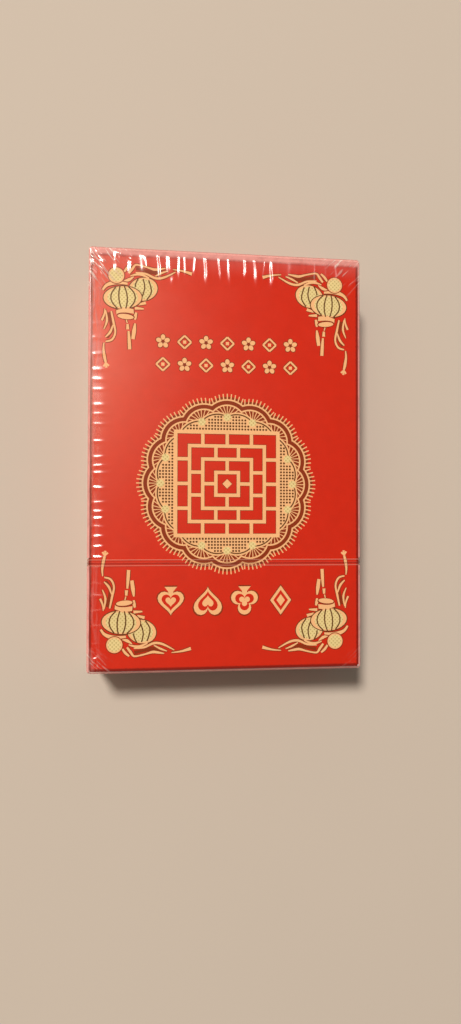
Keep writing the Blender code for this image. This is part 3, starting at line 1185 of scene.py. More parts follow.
def side_ribbon(bm):
    """The ribbon that runs along the carton's side, with a small tassel."""
    shade = ((26.2, 26.2), (25.3, 27.9), (25.45, 29.8), (25.9, 31.8))
    stroke(bm, shade, (0.2, 0.4, 0.36, 0.3), layer(UNDER), GROUND_INK)
    outer = ((26.55, 25.45), (25.2, 25.9), (24.5, 27.5), (24.9, 29.7), (25.4, 32.1))
    outlined(bm, outer, (0.16, 0.22, 0.2, 0.24, 0.16))
    outlined(bm, ((26.6, 26.4), (25.6, 27.5), (25.0, 29.1)), (0.12, 0.26, 0.12))
    outlined(bm, ((26.95, 28.1), (26.3, 30.0), (26.6, 32.25)), (0.1, 0.24, 0.12))
    outlined(bm, ((27.4, 30.0), (26.85, 31.4), (26.75, 32.6)), (0.24, 0.18, 0.1))
    outlined(bm, ((26.9, 25.2), (27.0, 23.8), (26.8, 22.2), (26.5, 20.9)), (0.1, 0.22, 0.32, 0.24))
    for tip in ((26.95, 20.0), (26.35, 19.75), (25.85, 20.15)):
        stroke(bm, ((26.5, 20.85), tip), (0.12, 0.24), layer(2), GOLD_INK)


def lantern_corners(name, place):
    """The same lanterns in all four corners."""
    bm = bmesh.new()
    rear_lantern(bm)
    front_lantern(bm)
    end_ribbon(bm)
    side_ribbon(bm)
    for axis in ("X", "Y"):
        bmesh.ops.mirror(bm, geom=bm.verts[:] + bm.edges[:] + bm.faces[:], axis=axis, merge_dist=-1.0)
    return printed(name, bm, place)


# Suit pips and small ornaments, in millimetres

SUITS = ("spade", "heart", "club", "diamond")
HAIR = 0.0004
HEART_STEPS = 28
DIAMOND = ((0.0, 0.52), (0.38, 0.0), (0.0, -0.52), (-0.38, 0.0))
CLUB_CENTRES = ((0.0, 0.26), (-0.24, -0.1), (0.24, -0.1))
CLUB_RADIUS = 0.24
SPADE_SCALE = (0.92, -0.84)
SPADE_RISE = 0.08
STEM = ((-0.05, 0.0), (0.05, 0.0), (0.09, -0.34), (0.22, -0.5), (-0.22, -0.5), (-0.09, -0.34))
INLAY = ((1.10, GROUND_INK), (1.0, GOLD_INK), (0.70, RED_INK), (0.40, GOLD_INK))
FACE_PIPS_CENTRE = (-0.15, -30.7)
FACE_PIPS_STEP = 8.1
FACE_PIP = 6.2
PANEL_PIP = 5.4
PANEL_LINE = 0.22
ROW_MIDDLES = (25.9, 20.9)
ROW_STEP = 4.73
ROW_COUNT = 7
PETALS = 5
PETAL_SEGMENTS = 14
PETAL_REACH = 0.95
PETAL_OUTLINE = (0.77, 0.67)
PETAL_RADII = (0.6, 0.5)
BLOSSOM_EYE = (0.36, 0.36)
LOZENGE_HALF = (1.45, 1.4)
LOZENGE_LINE = (0.2, 0.2)
LOZENGE_EYE = (0.5, 0.5)

# Frames on the sides and on the ends: half of both sizes, count of pips and their step
SIDE_FRAME = ((42.5, 6.6), 8, 9.6)
END_FRAME = ((26.5, 6.2), 4, 10.5)


def heart_outline():
    """A heart one unit high, point down, round its middle."""
    outline = []
    for i in range(HEART_STEPS):
        angle = math.tau * i / HEART_STEPS
        x = 16 * math.sin(angle) ** 3
        y = 13 * math.cos(angle) - 5 * math.cos(2 * angle) - 2 * math.cos(3 * angle) - math.cos(4 * angle)
        outline.append((x / 32, (y + 2.5) / 29))
    return outline


def spade_outline():
    """A heart turned over, with room for a stem under it."""
    return [(SPADE_SCALE[0] * x, SPADE_RISE + SPADE_SCALE[1] * y) for x, y in heart_outline()]


def pip(bm, suit, centre, size, height, ink, up=1.0, with_stem=True):
    """One suit pip. Parts that overlap lie a hair apart."""

    def put(points):
        return [(centre[0] + size * x, centre[1] + up * size * y) for x, y in points]

    if suit == "diamond":
        filled(bm, put(DIAMOND), height, ink)
    if suit == "heart":
        filled(bm, put(heart_outline()), height, ink)
    if suit == "spade":
        filled(bm, put(spade_outline()), height, ink)
    if suit == "club":
        radius = CLUB_RADIUS * size
        for i, spot in enumerate(put(CLUB_CENTRES)):
            disc(bm, spot, (radius, radius), height + HAIR * i, ink, segments=16)
    if suit in ("club", "spade") and with_stem:
        filled(bm, put(STEM), height + 3 * HAIR, ink)


def inlaid_pip(bm, suit, centre, size, up=1.0):
    """A gold pip with a red one and a small gold one inside it, and a dark line round it."""
    for number, (share, ink) in enumerate(INLAY, start=1):
        pip(bm, suit, centre, size * share, layer(number), ink, up, number <= 2)


def face_pips(name, place):
    """Four suit pips in a row."""
    bm = bmesh.new()
    x, y = FACE_PIPS_CENTRE
    for i, suit in enumerate(SUITS):
        inlaid_pip(bm, suit, (x + FACE_PIPS_STEP * (i - 1.5), y), FACE_PIP, up=-1.0)
    return printed(name, bm, place)


def blossom(bm, centre):
    """A five-petalled blossom."""
    for i in range(PETALS):
        angle = math.tau * i / PETALS + math.pi / 2
        spot = (centre[0] + PETAL_REACH * math.cos(angle), centre[1] + PETAL_REACH * math.sin(angle))
        disc(bm, spot, PETAL_OUTLINE, layer(UNDER), GROUND_INK, angle, PETAL_SEGMENTS)
        disc(bm, spot, PETAL_RADII, layer(1), GOLD_INK, angle, PETAL_SEGMENTS)
    disc(bm, centre, BLOSSOM_EYE, layer(2), GROUND_INK, segments=10)


def lozenge(bm, centre):
    """A small open lozenge with a lozenge in its middle."""
    x, y = centre
    wide, high = LOZENGE_HALF
    tips = ((x - wide, y), (x, y + high), (x + wide, y), (x, y - high))
    for i in range(4):
        outlined(bm, (tips[i], tips[(i + 1) % 4]), LOZENGE_LINE, steps=0)
    disc(bm, centre, LOZENGE_EYE, layer(1), GOLD_INK, math.pi / 4, segments=4)


def ornament_rows(name, place):
    """Two rows of seven small ornaments."""
    bm = bmesh.new()
    for row, middle in enumerate(ROW_MIDDLES):
        for i in range(ROW_COUNT):
            ornament = lozenge if (i + row) % 2 else blossom
            ornament(bm, (ROW_STEP * (i - (ROW_COUNT - 1) / 2), middle))
    return printed(name, bm, place)


def framed_pips(name, place, half_size, count, step, body="carton"):
    """A thin gold frame and a row of pips on a side, the lid or the glued end."""
    bm = bmesh.new()
    half_long, half_high = half_size
    for y in (-half_high, half_high):
        stroke(bm, ((-half_long, y), (half_long, y)), PANEL_LINE, layer(1), GOLD_INK, steps=0)
    for x in (-half_long, half_long):
        stroke(bm, ((x, -half_high), (x, half_high)), PANEL_LINE, layer(1), GOLD_INK, steps=0)
    for i in range(count):
        inlaid_pip(bm, SUITS[i % len(SUITS)], (step * (i - (count - 1) / 2), 0.0), PANEL_PIP)
    return printed(name, bm, place, body)


# Carton

FRONT_EDGE = -44.55 * MM
SIDE_EDGE = -44.0 * MM
NOTCH_RADIUS = 8.0 * MM
NOTCH_STEPS = 20
FOLD_STEPS = 5
CUT_SOFTENING = 0.00006
CUT_STEPS = 2
CUT_ANGLE = 0.6
TONGUE_CORNER = 0.0045
TONGUE_CORNER_STEPS = 8
FLAP_END = 0.003


def paint_board(bm, is_printed):
    """Prints the faces that are to be printed, and leaves the others bare."""
    for face in bm.faces:
        face.material_index = 0 if is_printed(face) else 1


def thicken_board(bm, thickness):
    """Gives a printed skin its thickness, bare on its inner side and cut edges."""
    outer = set(bm.faces)
    bmesh.ops.solidify(bm, geom=bm.faces[:], thickness=thickness)
    paint_board(bm, lambda face: face in outer)


def board_piece(name, bm, smooth):
    return make_piece(name, bm, [red_board(), bare_board()], smooth)


def notch_edge(bm, edge):
    """Cuts the half-round thumb notch into the back panel's free edge."""
    made = bmesh.ops.subdivide_edges(bm, edges=[edge], cuts=NOTCH_STEPS + 1)
    verts = sorted(new_verts(made["geom_inner"]), key=lambda v: v.co.x)
    for i, vert in enumerate(verts):
        angle = math.pi * i / NOTCH_STEPS
        vert.co.x = -NOTCH_RADIUS * math.cos(angle)
        vert.co.y = SHELL_LOW.y + NOTCH_RADIUS * math.sin(angle)


def carton_body():
    """Front, back, sides and glued end as one folded blank of board."""
    bm = bmesh.new()
    add_box(bm, SHELL_LOW, SHELL_HIGH)
    mouth = [f for f in bm.faces if f.normal.y < -FACING]
    bmesh.ops.delete(bm, geom=mouth, context="FACES_ONLY")
    folds = [e for e in bm.edges if len(e.link_faces) == 2]
    round_edges(bm, folds, sizes().fold_radius, FOLD_STEPS)
    rim = [v for v in bm.verts if v.co.y < SHELL_LOW.y + SAME_PLACE]
    for vert in rim:
        if vert.co.z > SHELL_HIGH.z - sizes().fold_radius:
            vert.co.y = FRONT_EDGE
        elif vert.co.z > SHELL_LOW.z + sizes().fold_radius / 2:
            vert.co.y = SIDE_EDGE
    bm.normal_update()
    free = [e for e in bm.edges if len(e.link_faces) == 1]
    notch_edge(bm, min(free, key=lambda e: sum(v.co.z for v in e.verts)))
    thicken_board(bm, sizes().board)
    return carry(board_piece("carton_body", bm, smooth=40), "carton", "printed_board", "carton_shell")


def board_panel(name, node, body, print_side, shape=None):
    """A flat panel of board, printed on the side that faces one way. shape changes its outline."""
    bm = bmesh.new()
    add_box(bm, *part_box(node))
    if shape is not None:
        shape(bm)
    bm.normal_update()
    paint_board(bm, lambda face: face.normal.dot(Vector(print_side)) > FACING)
    rims = [e for e in bm.edges if e.calc_face_angle(0.0) > CUT_ANGLE]
    round_edges(bm, rims, CUT_SOFTENING, CUT_STEPS)
    return carry(board_piece(name, bm, smooth=35), body, "printed_board", node)


def lid():
    return board_panel("lid_panel", "carton_lid", "lid", (0, -1, 0))


def tongue():
    """The tuck tongue, with round corners at its free edge."""

    def round_corners(bm):
        uprights = [e for e in bm.edges if is_upright(e)]
        free = [e for e in uprights if e.verts[0].co.y > TONGUE_HIGH.y - SAME_PLACE]
        round_edges(bm, free, TONGUE_CORNER, TONGUE_CORNER_STEPS)

    return board_panel("tongue_panel", "tuck_tongue", "tongue", (0, 0, -1), round_corners)


def dust_flap(name, node, body, side):
    """A dust flap: as deep as the carton at its fold, narrower at its free end."""
    low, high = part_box(node)
    middle = (low.z + high.z) / 2
    free_x = low.x if side > 0 else high.x
    end_share = FLAP_END / (high.z - low.z)

    def narrow(bm):
        for vert in bm.verts:
            if abs(vert.co.x - free_x) < SAME_PLACE:
                vert.co.z = middle + (vert.co.z - middle) * end_share

    return board_panel(name, node, body, (0, -1, 0), narrow)


# Creases between panels, each a bent strip of board that follows both

CREASE_PIECES = 20
CREASE_STEPS = 6
CREASE_INSET = 0.0004
CREASE_BOARD = 0.00022
TONGUE_CREASE_BOARD = 0.00006
TONGUE_CREASE_SKIN = 0.00003
LID_LAP = 0.0003
TONGUE_LAP = 0.0005


def crease(name, path, along, thickness, outwards):
    """A strip of board bent round a fold.

    path is the outer line across it, in metres, and along is where its length starts and runs.
    """
    start, way = along
    stops = [start + way * (i / CREASE_PIECES) for i in range(CREASE_PIECES + 1)]
    bm = bmesh.new()
    lay_grid(bm, [[stop + spot for stop in stops] for spot in path], 0)
    bm.normal_update()
    facing = sum((f.normal for f in bm.faces), Vector())
    if facing.dot(Vector(outwards)) < 0:
        bmesh.ops.reverse_faces(bm, faces=bm.faces[:])
    thicken_board(bm, thickness)
    piece = board_piece(name, bm, smooth=50)
    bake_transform(piece)
    return piece


def quarter(start, end, corner):
    """Points of a quarter oval from start to end that bulges towards corner."""
    centre = start + end - corner
    line = []
    for i in range(CREASE_STEPS + 1):
        angle = math.pi / 2 * i / CREASE_STEPS
        line.append(centre + (start - centre) * math.cos(angle) + (end - centre) * math.sin(angle))
    return line


def creases():
    """Folds of the lid, the tongue and the two dust flaps."""
    left = Vector((CREASE_INSET - LID_HIGH.x, 0, 0))
    wide = Vector((2 * (LID_HIGH.x - CREASE_INSET), 0, 0))
    fold_start = Vector((0, FRONT_EDGE, SHELL_HIGH.z))
    fold_end = Vector((0, LID_LOW.y, LID_HIGH.z))
    line = quarter(fold_start, fold_end, Vector((0, fold_end.y, fold_start.z)))
    crease("lid_crease", line, (left, wide), CREASE_BOARD, (0, -1, 1))
    left = Vector((TONGUE_LOW.x, 0, 0))
    wide = Vector((2 * TONGUE_HIGH.x, 0, 0))
    fold_start = Vector((0, LID_LOW.y - TONGUE_CREASE_SKIN, LID_LOW.z + LID_LAP))
    fold_end = Vector((0, TONGUE_LOW.y + TONGUE_LAP, TONGUE_LOW.z - TONGUE_CREASE_SKIN))
    line = quarter(fold_start, fold_end, Vector((0, fold_start.y, fold_end.z)))
    crease("tongue_crease", line, (left, wide), TONGUE_CREASE_BOARD, (0, -1, -1))
    for side, node, body in ((-1, "dust_flap_left", "left_flap"), (1, "dust_flap_right", "right_flap")):
        low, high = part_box(node)
        foot = Vector((0, 0, low.z + CREASE_INSET))
        up = Vector((0, 0, high.z - low.z - 2 * CREASE_INSET))
        fold_start = Vector((side * SHELL_HIGH.x, SIDE_EDGE, 0))
        fold_end = Vector((high.x if side > 0 else low.x, low.y, 0))
        line = quarter(fold_start, fold_end, Vector((fold_start.x, fold_end.y, 0)))
        crease(node + "_crease", line, (foot, up), CREASE_BOARD, (side, -1, 0))


# Cards, in metres

CARD_CORNER = 0.0035
CARD_CORNER_STEPS = 6
CARD_THICKNESS = 0.00027
STRAY_X = (-0.00012, 0.00012)
STRAY_Y = (-0.00018, 0.00004)

# What's printed on them, in millimetres from a card's middle
CARD_INK_TOP = 0.0025
CARD_INK_SUNK = -0.002
LABELS = {"ace": "A", "jack": "J", "queen": "Q", "king": "K"}
COURTS = ("jack", "queen", "king")
GLYPH_STEPS = 3
INDEX_PLACE = (24.2, 37.5)
INDEX_SIZE = 7.0
LONG_INDEX_SIZE = 5.6
INDEX_PIP_PLACE = (24.2, 31.8)
INDEX_PIP = 3.8
PIP_COLUMN = 11.5
PIP_ROWS = 27.0
PIP_SIZE = 9.5
ACE_PIP = 20.0
COURT_HALF = (16.5, 32.0)
COURT_LINE = 0.3
COURT_SLANT = 4.0
COURT_PIP_PLACE = (9.5, 22.5)
COURT_PIP = 11.0
COURT_LETTER_PLACE = (5.0, 11.0)
COURT_LETTER = 19.0

# Stars of a joker: points, radius and the share of it where they meet
INDEX_STAR = (5, 2.6, 0.42)
MIDDLE_STAR = (8, 16.0, 0.55)

# Rows of pips, and the rows with one in the middle, by the count of pips
PIP_LEVELS = {4: 2, 5: 2, 6: 3, 7: 3, 8: 3, 9: 4, 10: 4}
PIP_MIDDLES = {5: (0.0,), 7: (0.5,), 8: (0.5, -0.5), 9: (0.0,), 10: (2 / 3, -2 / 3)}


def pip_spots(count):
    """Places of the pips on a card, as shares of the outer column and row."""
    if count <= 3:
        return [(0.0, 0.0)] * (count % 2) + [(0.0, way) for way in (1.0, -1.0) if count > 1]
    levels = PIP_LEVELS[count]
    rows = [1.0 - 2.0 * i / (levels - 1) for i in range(levels)]
    spots = [(side, row) for row in rows for side in (-1.0, 1.0)]
    return spots + [(0.0, row) for row in PIP_MIDDLES.get(count, ())]


def glyph(bm, label, centre, size, turned):
    """Plain flat characters, upright or turned half round."""
    curve = bpy.data.curves.new("glyph", "FONT")
    curve.body = label
    curve.size = size
    curve.resolution_u = GLYPH_STEPS
    curve.align_x = "CENTER"
    curve.align_y = "CENTER"
    holder = bpy.data.objects.new("glyph", curve)
    bpy.context.scene.collection.objects.link(holder)
    bpy.context.view_layer.update()
    known = set(bm.verts)
    bm.from_mesh(holder.to_mesh())
    holder.to_mesh_clear()
    bpy.data.objects.remove(holder)
    bpy.data.curves.remove(curve)
    new = [v for v in bm.verts if v not in known]
    place = Matrix.Translation((*centre, CARD_INK_TOP))
    if turned:
        place = place @ Matrix.Rotation(math.pi, 4, "Z")
    bmesh.ops.transform(bm, matrix=place, verts=new)
    bmesh.ops.remove_doubles(bm, verts=new, dist=1e-4)


def card_slab(bm, low, high):
    """White stock with round corners, its back on the underside."""
    edges = {e for v in add_box(bm, low, high) for e in v.link_edges}
    made = round_edges(bm, [e for e in edges if is_upright(e)], CARD_CORNER, CARD_CORNER_STEPS)
    bm.normal_update()
    for face in {f for v in made["verts"] for f in v.link_faces}:
        face.material_index = 1 if face.normal.z < -FACING else 0


def court_face(bm, suit, label):
    """A frame crossed by a slanting line, with a pip and a letter in each half."""
    half_x, half_y = COURT_HALF
    top = CARD_INK_TOP
    for side in (-1.0, 1.0):
        x, y = side * half_x, side * half_y
        stroke(bm, ((-half_x, y), (half_x, y)), COURT_LINE, top, 0, steps=0)
        stroke(bm, ((x, -half_y), (x, half_y)), COURT_LINE, top - HAIR, 0, steps=0)
        pip(bm, suit, (-side * COURT_PIP_PLACE[0], side * COURT_PIP_PLACE[1]), COURT_PIP, top, 0, up=side)
        glyph(bm, label, [side * c for c in COURT_LETTER_PLACE], COURT_LETTER, side < 0)
    slant = ((-half_x, -COURT_SLANT), (half_x, COURT_SLANT))
    stroke(bm, slant, COURT_LINE, top - 2 * HAIR, 0, steps=0)


def face_of_card(bm, suit, rank):
    """Index, small pip and pips of a card, alike from both ends."""
    label = LABELS.get(rank, rank)
    size = INDEX_SIZE if len(label) == 1 else LONG_INDEX_SIZE
    for way in (1.0, -1.0):
        glyph(bm, label, (-way * INDEX_PLACE[0], way * INDEX_PLACE[1]), size, way < 0)
        spot = (-way * INDEX_PIP_PLACE[0], way * INDEX_PIP_PLACE[1])
        pip(bm, suit, spot, INDEX_PIP, CARD_INK_TOP, 0, up=way)
    if rank in COURTS:
        court_face(bm, suit, label)
        return
    count = 1 if rank == "ace" else int(rank)
    size = ACE_PIP if count == 1 else PIP_SIZE
    for column, row in pip_spots(count):
        spot = (column * PIP_COLUMN, row * PIP_ROWS)
        pip(bm, suit, spot, size, CARD_INK_TOP, 0, up=-1.0 if row < 0 else 1.0)


def joker_face(bm):
    """A small star for an index at both ends, and a large one in the middle."""
    for way in (1.0, -1.0):
        corner = Vector((-way * INDEX_PLACE[0], way * INDEX_PLACE[1], 0.0))
        filled(bm, star_outline(corner, *INDEX_STAR, way * math.pi / 2), CARD_INK_TOP, 0)
    filled(bm, star_outline(Vector(), *MIDDLE_STAR), CARD_INK_TOP, 0)


def press_card(bm, low, high, ink_index):
    """Gives a card's flat ink its thickness and puts it on the card."""
    for face in bm.faces:
        face.material_index = ink_index
    middle = (low + high) / 2
    press_ink(bm, Matrix.Translation((middle.x, middle.y, high.z)), CARD_INK_SUNK)


def card(node):
    """One card, or the pair of jokers."""
    draw = random.Random(node)
    shift = Vector((draw.uniform(*STRAY_X), draw.uniform(*STRAY_Y), 0.0))
    low, high = (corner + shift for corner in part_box(node))
    bm = bmesh.new()
    suit, rank = node.split("_")[1:]
    if suit == "joker":
        joker_face(bm)
    else:
        face_of_card(bm, suit, rank)
    press_card(bm, low, high, 2)
    if suit == "joker":
        card_slab(bm, low, Vector((high.x, high.y, low.z + CARD_THICKNESS)))
        card_slab(bm, Vector((low.x, low.y, high.z - CARD_THICKNESS)), high)
    else:
        card_slab(bm, low, high)
    ink = red_suit() if suit in ("heart", "diamond", "joker") else black_suit()
    piece = make_piece(node + "_print", bm, [card_stock(), card_back(), ink])
    return carry(piece, "deck", "card_stock", node)


# Clear wrap, in millimetres

WRAP_HALF_X = CAP_HIGH.x / MM
WRAP_TOP = SLEEVE_HIGH.z / MM
WRAP_HALF_Z = WRAP_TOP / 2
WRAP_END = SLEEVE_HIGH.y / MM
TEAR_SLEEVE = SLEEVE_LOW.y / MM
TEAR_CAP = CAP_HIGH.y / MM
END_ROUND = 0.38
END_STEPS = 5
TAPE_WIDTH = 1.4
TAPE_THICKNESS = 0.035
TAPE_SHEET = 1
FRONT_COLUMNS = 72
SIDE_COLUMNS = 14
BACK_COLUMNS = 32
CORNER_COLUMNS = 5
ROW_SPACING = 0.8
FINE_CUTS = 3


def wrap_section():
    """Points round the wrapped section, from under the right edge round to there again."""
    radius = sizes().wrap_radius / MM
    x, z = WRAP_HALF_X - radius, WRAP_HALF_Z - radius
    centres = [Vector(c) for c in ((x, -z), (x, z), (-x, z), (-x, -z))]
    counts = (SIDE_COLUMNS, FRONT_COLUMNS, SIDE_COLUMNS, BACK_COLUMNS)
    quarter_turn = math.pi / 2
    found = []
    for k, count in enumerate(counts):
        for i in range(CORNER_COLUMNS):
            angle = quarter_turn * (k - 1 + i / CORNER_COLUMNS)
            found.append(centres[k] + radius * Vector((math.cos(angle), math.sin(angle))))
        out = radius * Vector((math.cos(quarter_turn * k), math.sin(quarter_turn * k)))
        found += [centres[k].lerp(centres[(k + 1) % 4], i / count) + out for i in range(count)]
    return found + found[:1]


def wrap_rows(tear, end):
    """Places along the carton from the tear line to the wrap's end, closer where it rounds over."""
    way = math.copysign(1.0, end - tear)
    past_tape = tear + way * TAPE_WIDTH
    flat_end = end - way * END_ROUND
    count = round(abs(flat_end - past_tape) / ROW_SPACING)
    rows = [tear, (tear + past_tape) / 2]
    rows += [past_tape + (flat_end - past_tape) * i / count for i in range(count)]
    turns = [math.pi / 2 * i / END_STEPS for i in range(END_STEPS + 1)]
    return rows + [flat_end + way * END_ROUND * math.sin(turn) for turn in turns]


def soft_step(value):
    """Smooth change from 0 to 1."""
    held = np.clip(value, 0.0, 1.0)
    return held * held * (3 - 2 * held)


# Ridges of the wrap: the steepest slope of one with height and half width 1, and the sway of its line

STEEPEST = 0.858
SWAY = 0.10
SWAY_TURN = 1.4
WIDEST = 0.9
RIDGE_SEED = 21
EDGE_BEGIN = 0.4

# Slope in degrees that shows the key lamp at an edge's middle, and its change for each millimetre along
SIDE_GLINT = (9.1, -0.18)
END_GLINT = (13.0, 0.183)

# Ridges across the far end's edge: where they start and stop, and the ranges that they are drawn from
END_MARGINS = (3.0, 2)
END_STRONG_UNTIL = 7
END_STRONG = (1.1, 1.8)
END_WEAK = (0.6, 1.2)
END_LEAN = (-0.12, 0.12)
END_LENGTHS = (5.4, 8.4)
END_HEIGHTS = (0.11, 0.20)
END_CLOSE = (0.9, 1.4)
END_APART = (2.0, 2.8)
END_CLOSE_SHARE = 0.7

# Ridges across the left side's edge, weaker on the cap. Their heights follow their slopes
SIDE_MARGINS = (3, 5)
SIDE_ON_CAP = (0.55, 0.85)
SIDE_ON_SLEEVE = (0.9, 1.45)
SIDE_WIDTHS = (0.30, 0.44)
SIDE_TALLEST = 0.14
SIDE_LEAN = (-0.08, 0.08)
SIDE_LENGTHS = (4.4, 6.2)
SIDE_STEPS = (1.5, 3.9)

# Ridges that fan from the corners: side, end and count of each fan, and the ranges that they are drawn from
FANS = ((-1, 1, 13), (1, 1, 5), (-1, -1, 5), (1, -1, 3))
FAN_TURNS = (28, 62)
FAN_SPREAD = (0.0, 6.0)
FAN_BEGIN = 0.2
FAN_LENGTHS = (3.0, 6.5)
FAN_HEIGHTS = (0.06, 0.12)
FAN_SLOPES = (0.14, 0.30)


def glint(edge, place):
    """Slope of a ridge across an edge that shows the key lamp."""
    at_middle, change = edge
    return math.tan(math.radians(at_middle + change * place))


class Crinkles:
    """Ridges of the wrap: start, way, where each begins and ends along it, half width, height and sway."""

    def __init__(self):
        self.ridges = []
        self.random = random.Random(RIDGE_SEED)

    def draw(self, span):
        return self.random.uniform(*span)

    def add(self, start, way, begin, length, height, slope):
        """A ridge of this height and steepest slope."""
        height *= sizes().crinkle
        width = min(STEEPEST * height / slope, WIDEST)
        phase = self.draw((0, math.tau))
        line = (np.array(start), np.array(Vector(way).normalized()))
        self.ridges.append((*line, begin, length, width, height, phase))

    def end_edge(self):
        """Ridges across the far end's edge, strongest on the left."""
        place = -WRAP_HALF_X + END_MARGINS[0]
        while place < WRAP_HALF_X - END_MARGINS[1]:
            share = self.draw(END_STRONG if place < END_STRONG_UNTIL else END_WEAK)
            way = (self.draw(END_LEAN), -1, 0)
            length = self.draw(END_LENGTHS)
            height = self.draw(END_HEIGHTS)
            start = (place, WRAP_END, WRAP_TOP)
            self.add(start, way, EDGE_BEGIN, length, height, share * glint(END_GLINT, place))
            place += self.draw(END_CLOSE if self.random.random() < END_CLOSE_SHARE else END_APART)

    def side_edge(self):
        """Ridges across the left side's edge."""
        place = -WRAP_END + SIDE_MARGINS[0]
        while place < WRAP_END - SIDE_MARGINS[1]:
            share = self.draw(SIDE_ON_CAP if place < TEAR_CAP else SIDE_ON_SLEEVE)
            slope = share * glint(SIDE_GLINT, place)
            height = min(self.draw(SIDE_WIDTHS) * slope / STEEPEST, SIDE_TALLEST)
            way = (1, self.draw(SIDE_LEAN), 0)
            start = (-WRAP_HALF_X, place, WRAP_TOP)
            self.add(start, way, EDGE_BEGIN, self.draw(SIDE_LENGTHS), height, slope)
            place += self.draw(SIDE_STEPS)

    def fan(self, side, end, count):
        """Fine ridges that fan from a corner."""
        for _ in range(count):
            turn = math.radians(self.draw(FAN_TURNS))
            way = (-side * math.cos(turn), -end * math.sin(turn), 0)
            along = self.draw(FAN_SPREAD)
            on_side = self.random.random() < 0.5
            x = WRAP_HALF_X - (0.0 if on_side else along)
            y = WRAP_END - (along if on_side else 0.0)
            start = (side * x, end * y, WRAP_TOP)
            length = self.draw(FAN_LENGTHS)
            height = self.draw(FAN_HEIGHTS)
            self.add(start, way, FAN_BEGIN, length, height, self.draw(FAN_SLOPES))


@once
def crinkles():
    made = Crinkles()
    made.end_edge()
    made.side_edge()
    for fan in FANS:
        made.fan(*fan)
    return made.ridges


# How the wrap stands off the carton, in millimetres. Slack: loose waves that grow up the sides

SLACK_SEED = 5
SLACK_WAVES = 6
SLACK_LENGTHS = (14, 34)
SLACK_HEIGHT = 0.03
SLACK_FOOT = 2.0

# Bow: the front rises from its left edge and falls off again, and fades towards the ends
FRONT_FROM = 1.0
FRONT_GROWS = 0.8
EDGE_SLOPE = 0.135
EDGE_RUN = 2.9
EDGE_BEND = 0.8
EDGE_FALL = 12.0
EDGE_FALLEN = 0.75
BOW_STARTS = 13.0
BOW_GROWS = 20.0
BOW_END_STARTS = 1.0
BOW_END_GROWS = 9.0

# Ridges: how they run in and out, and how all fade at the ends
RUN_IN = 1.0
RUN_OUT_SHARE = 0.35
END_FADE = 1.4

# Lip: the wrap stands off its sides and ends near the front
LIP = 0.15
LIP_DROP = 0.7
LIP_SPREAD = 2.2

# Stretches of the face with finer faces, measured from the left edge, the far end and a corner
FINE_SIDE = 4.4
FINE_END = 8.0
FINE_CORNER = 7.0


def slack(points):
    """Gentle waves of the wrap where it lies loose, never below the flat."""
    draw = random.Random(SLACK_SEED)
    total = np.zeros(len(points))
    for _ in range(SLACK_WAVES):
        angle = draw.uniform(0, math.pi)
        length = draw.uniform(*SLACK_LENGTHS)
        phase = draw.uniform(0, math.tau)
        along = points[:, 0] * math.cos(angle) + points[:, 1] * math.sin(angle)
        total += np.sin(along * math.tau / length + phase)
    return SLACK_HEIGHT + SLACK_HEIGHT * total / SLACK_WAVES


def bow(points):
    """Rise of the front between its edges."""
    from_left = points[:, 0] + WRAP_HALF_X
    from_right = WRAP_HALF_X - points[:, 0]
    from_end = WRAP_END - np.abs(points[:, 1])
    from_far = WRAP_END - points[:, 1]
    on_front = soft_step((points[:, 2] - WRAP_TOP + FRONT_FROM) / FRONT_GROWS)
    climb = (from_left + EDGE_RUN - np.hypot(from_left - EDGE_RUN, EDGE_BEND)) / 2
    fallen = EDGE_FALLEN * soft_step((from_left - EDGE_RUN) / EDGE_FALL)
    rise = EDGE_SLOPE * np.maximum(climb, 0.0) * (1 - fallen)
    fading = soft_step((from_end - BOW_END_STARTS) / BOW_END_GROWS)
    fading = fading * soft_step((from_far - BOW_STARTS) / BOW_GROWS)
    return rise * on_front * soft_step(from_right / EDGE_RUN) * fading


def wrap_lift(points):
    """How far the wrap stands off its flat place at each point."""
    height = np.clip((points[:, 2] - SLACK_FOOT) / (WRAP_TOP - SLACK_FOOT), 0.0, 1.0)
    total = slack(points) * height**2 + bow(points)
    for start, way, begin, length, width, tall, phase in crinkles():
        along = (points - start) @ way
        near = (along > begin) & (along < length)
        along = along[near]
        off = points[near] - start - np.outer(along, way)
        aside = off @ (-way[1], way[0], 0.0) - SWAY * width * np.sin(SWAY_TURN * along + phase)
        run_out = soft_step((along / length - 1 + RUN_OUT_SHARE) / RUN_OUT_SHARE)
        run = soft_step((along - begin) / RUN_IN) * (1 - run_out)
        total[near] += tall * np.exp(-(aside**2 + off[:, 2] ** 2) / width**2) * run
    return total * soft_step((WRAP_END - np.abs(points[:, 1])) / END_FADE)


def lip(height):
    """How far the wrap stands off its sides and ends near the front, at a height above the floor."""
    return LIP * np.exp(-(((WRAP_TOP - LIP_DROP - height) / LIP_SPREAD) ** 2))


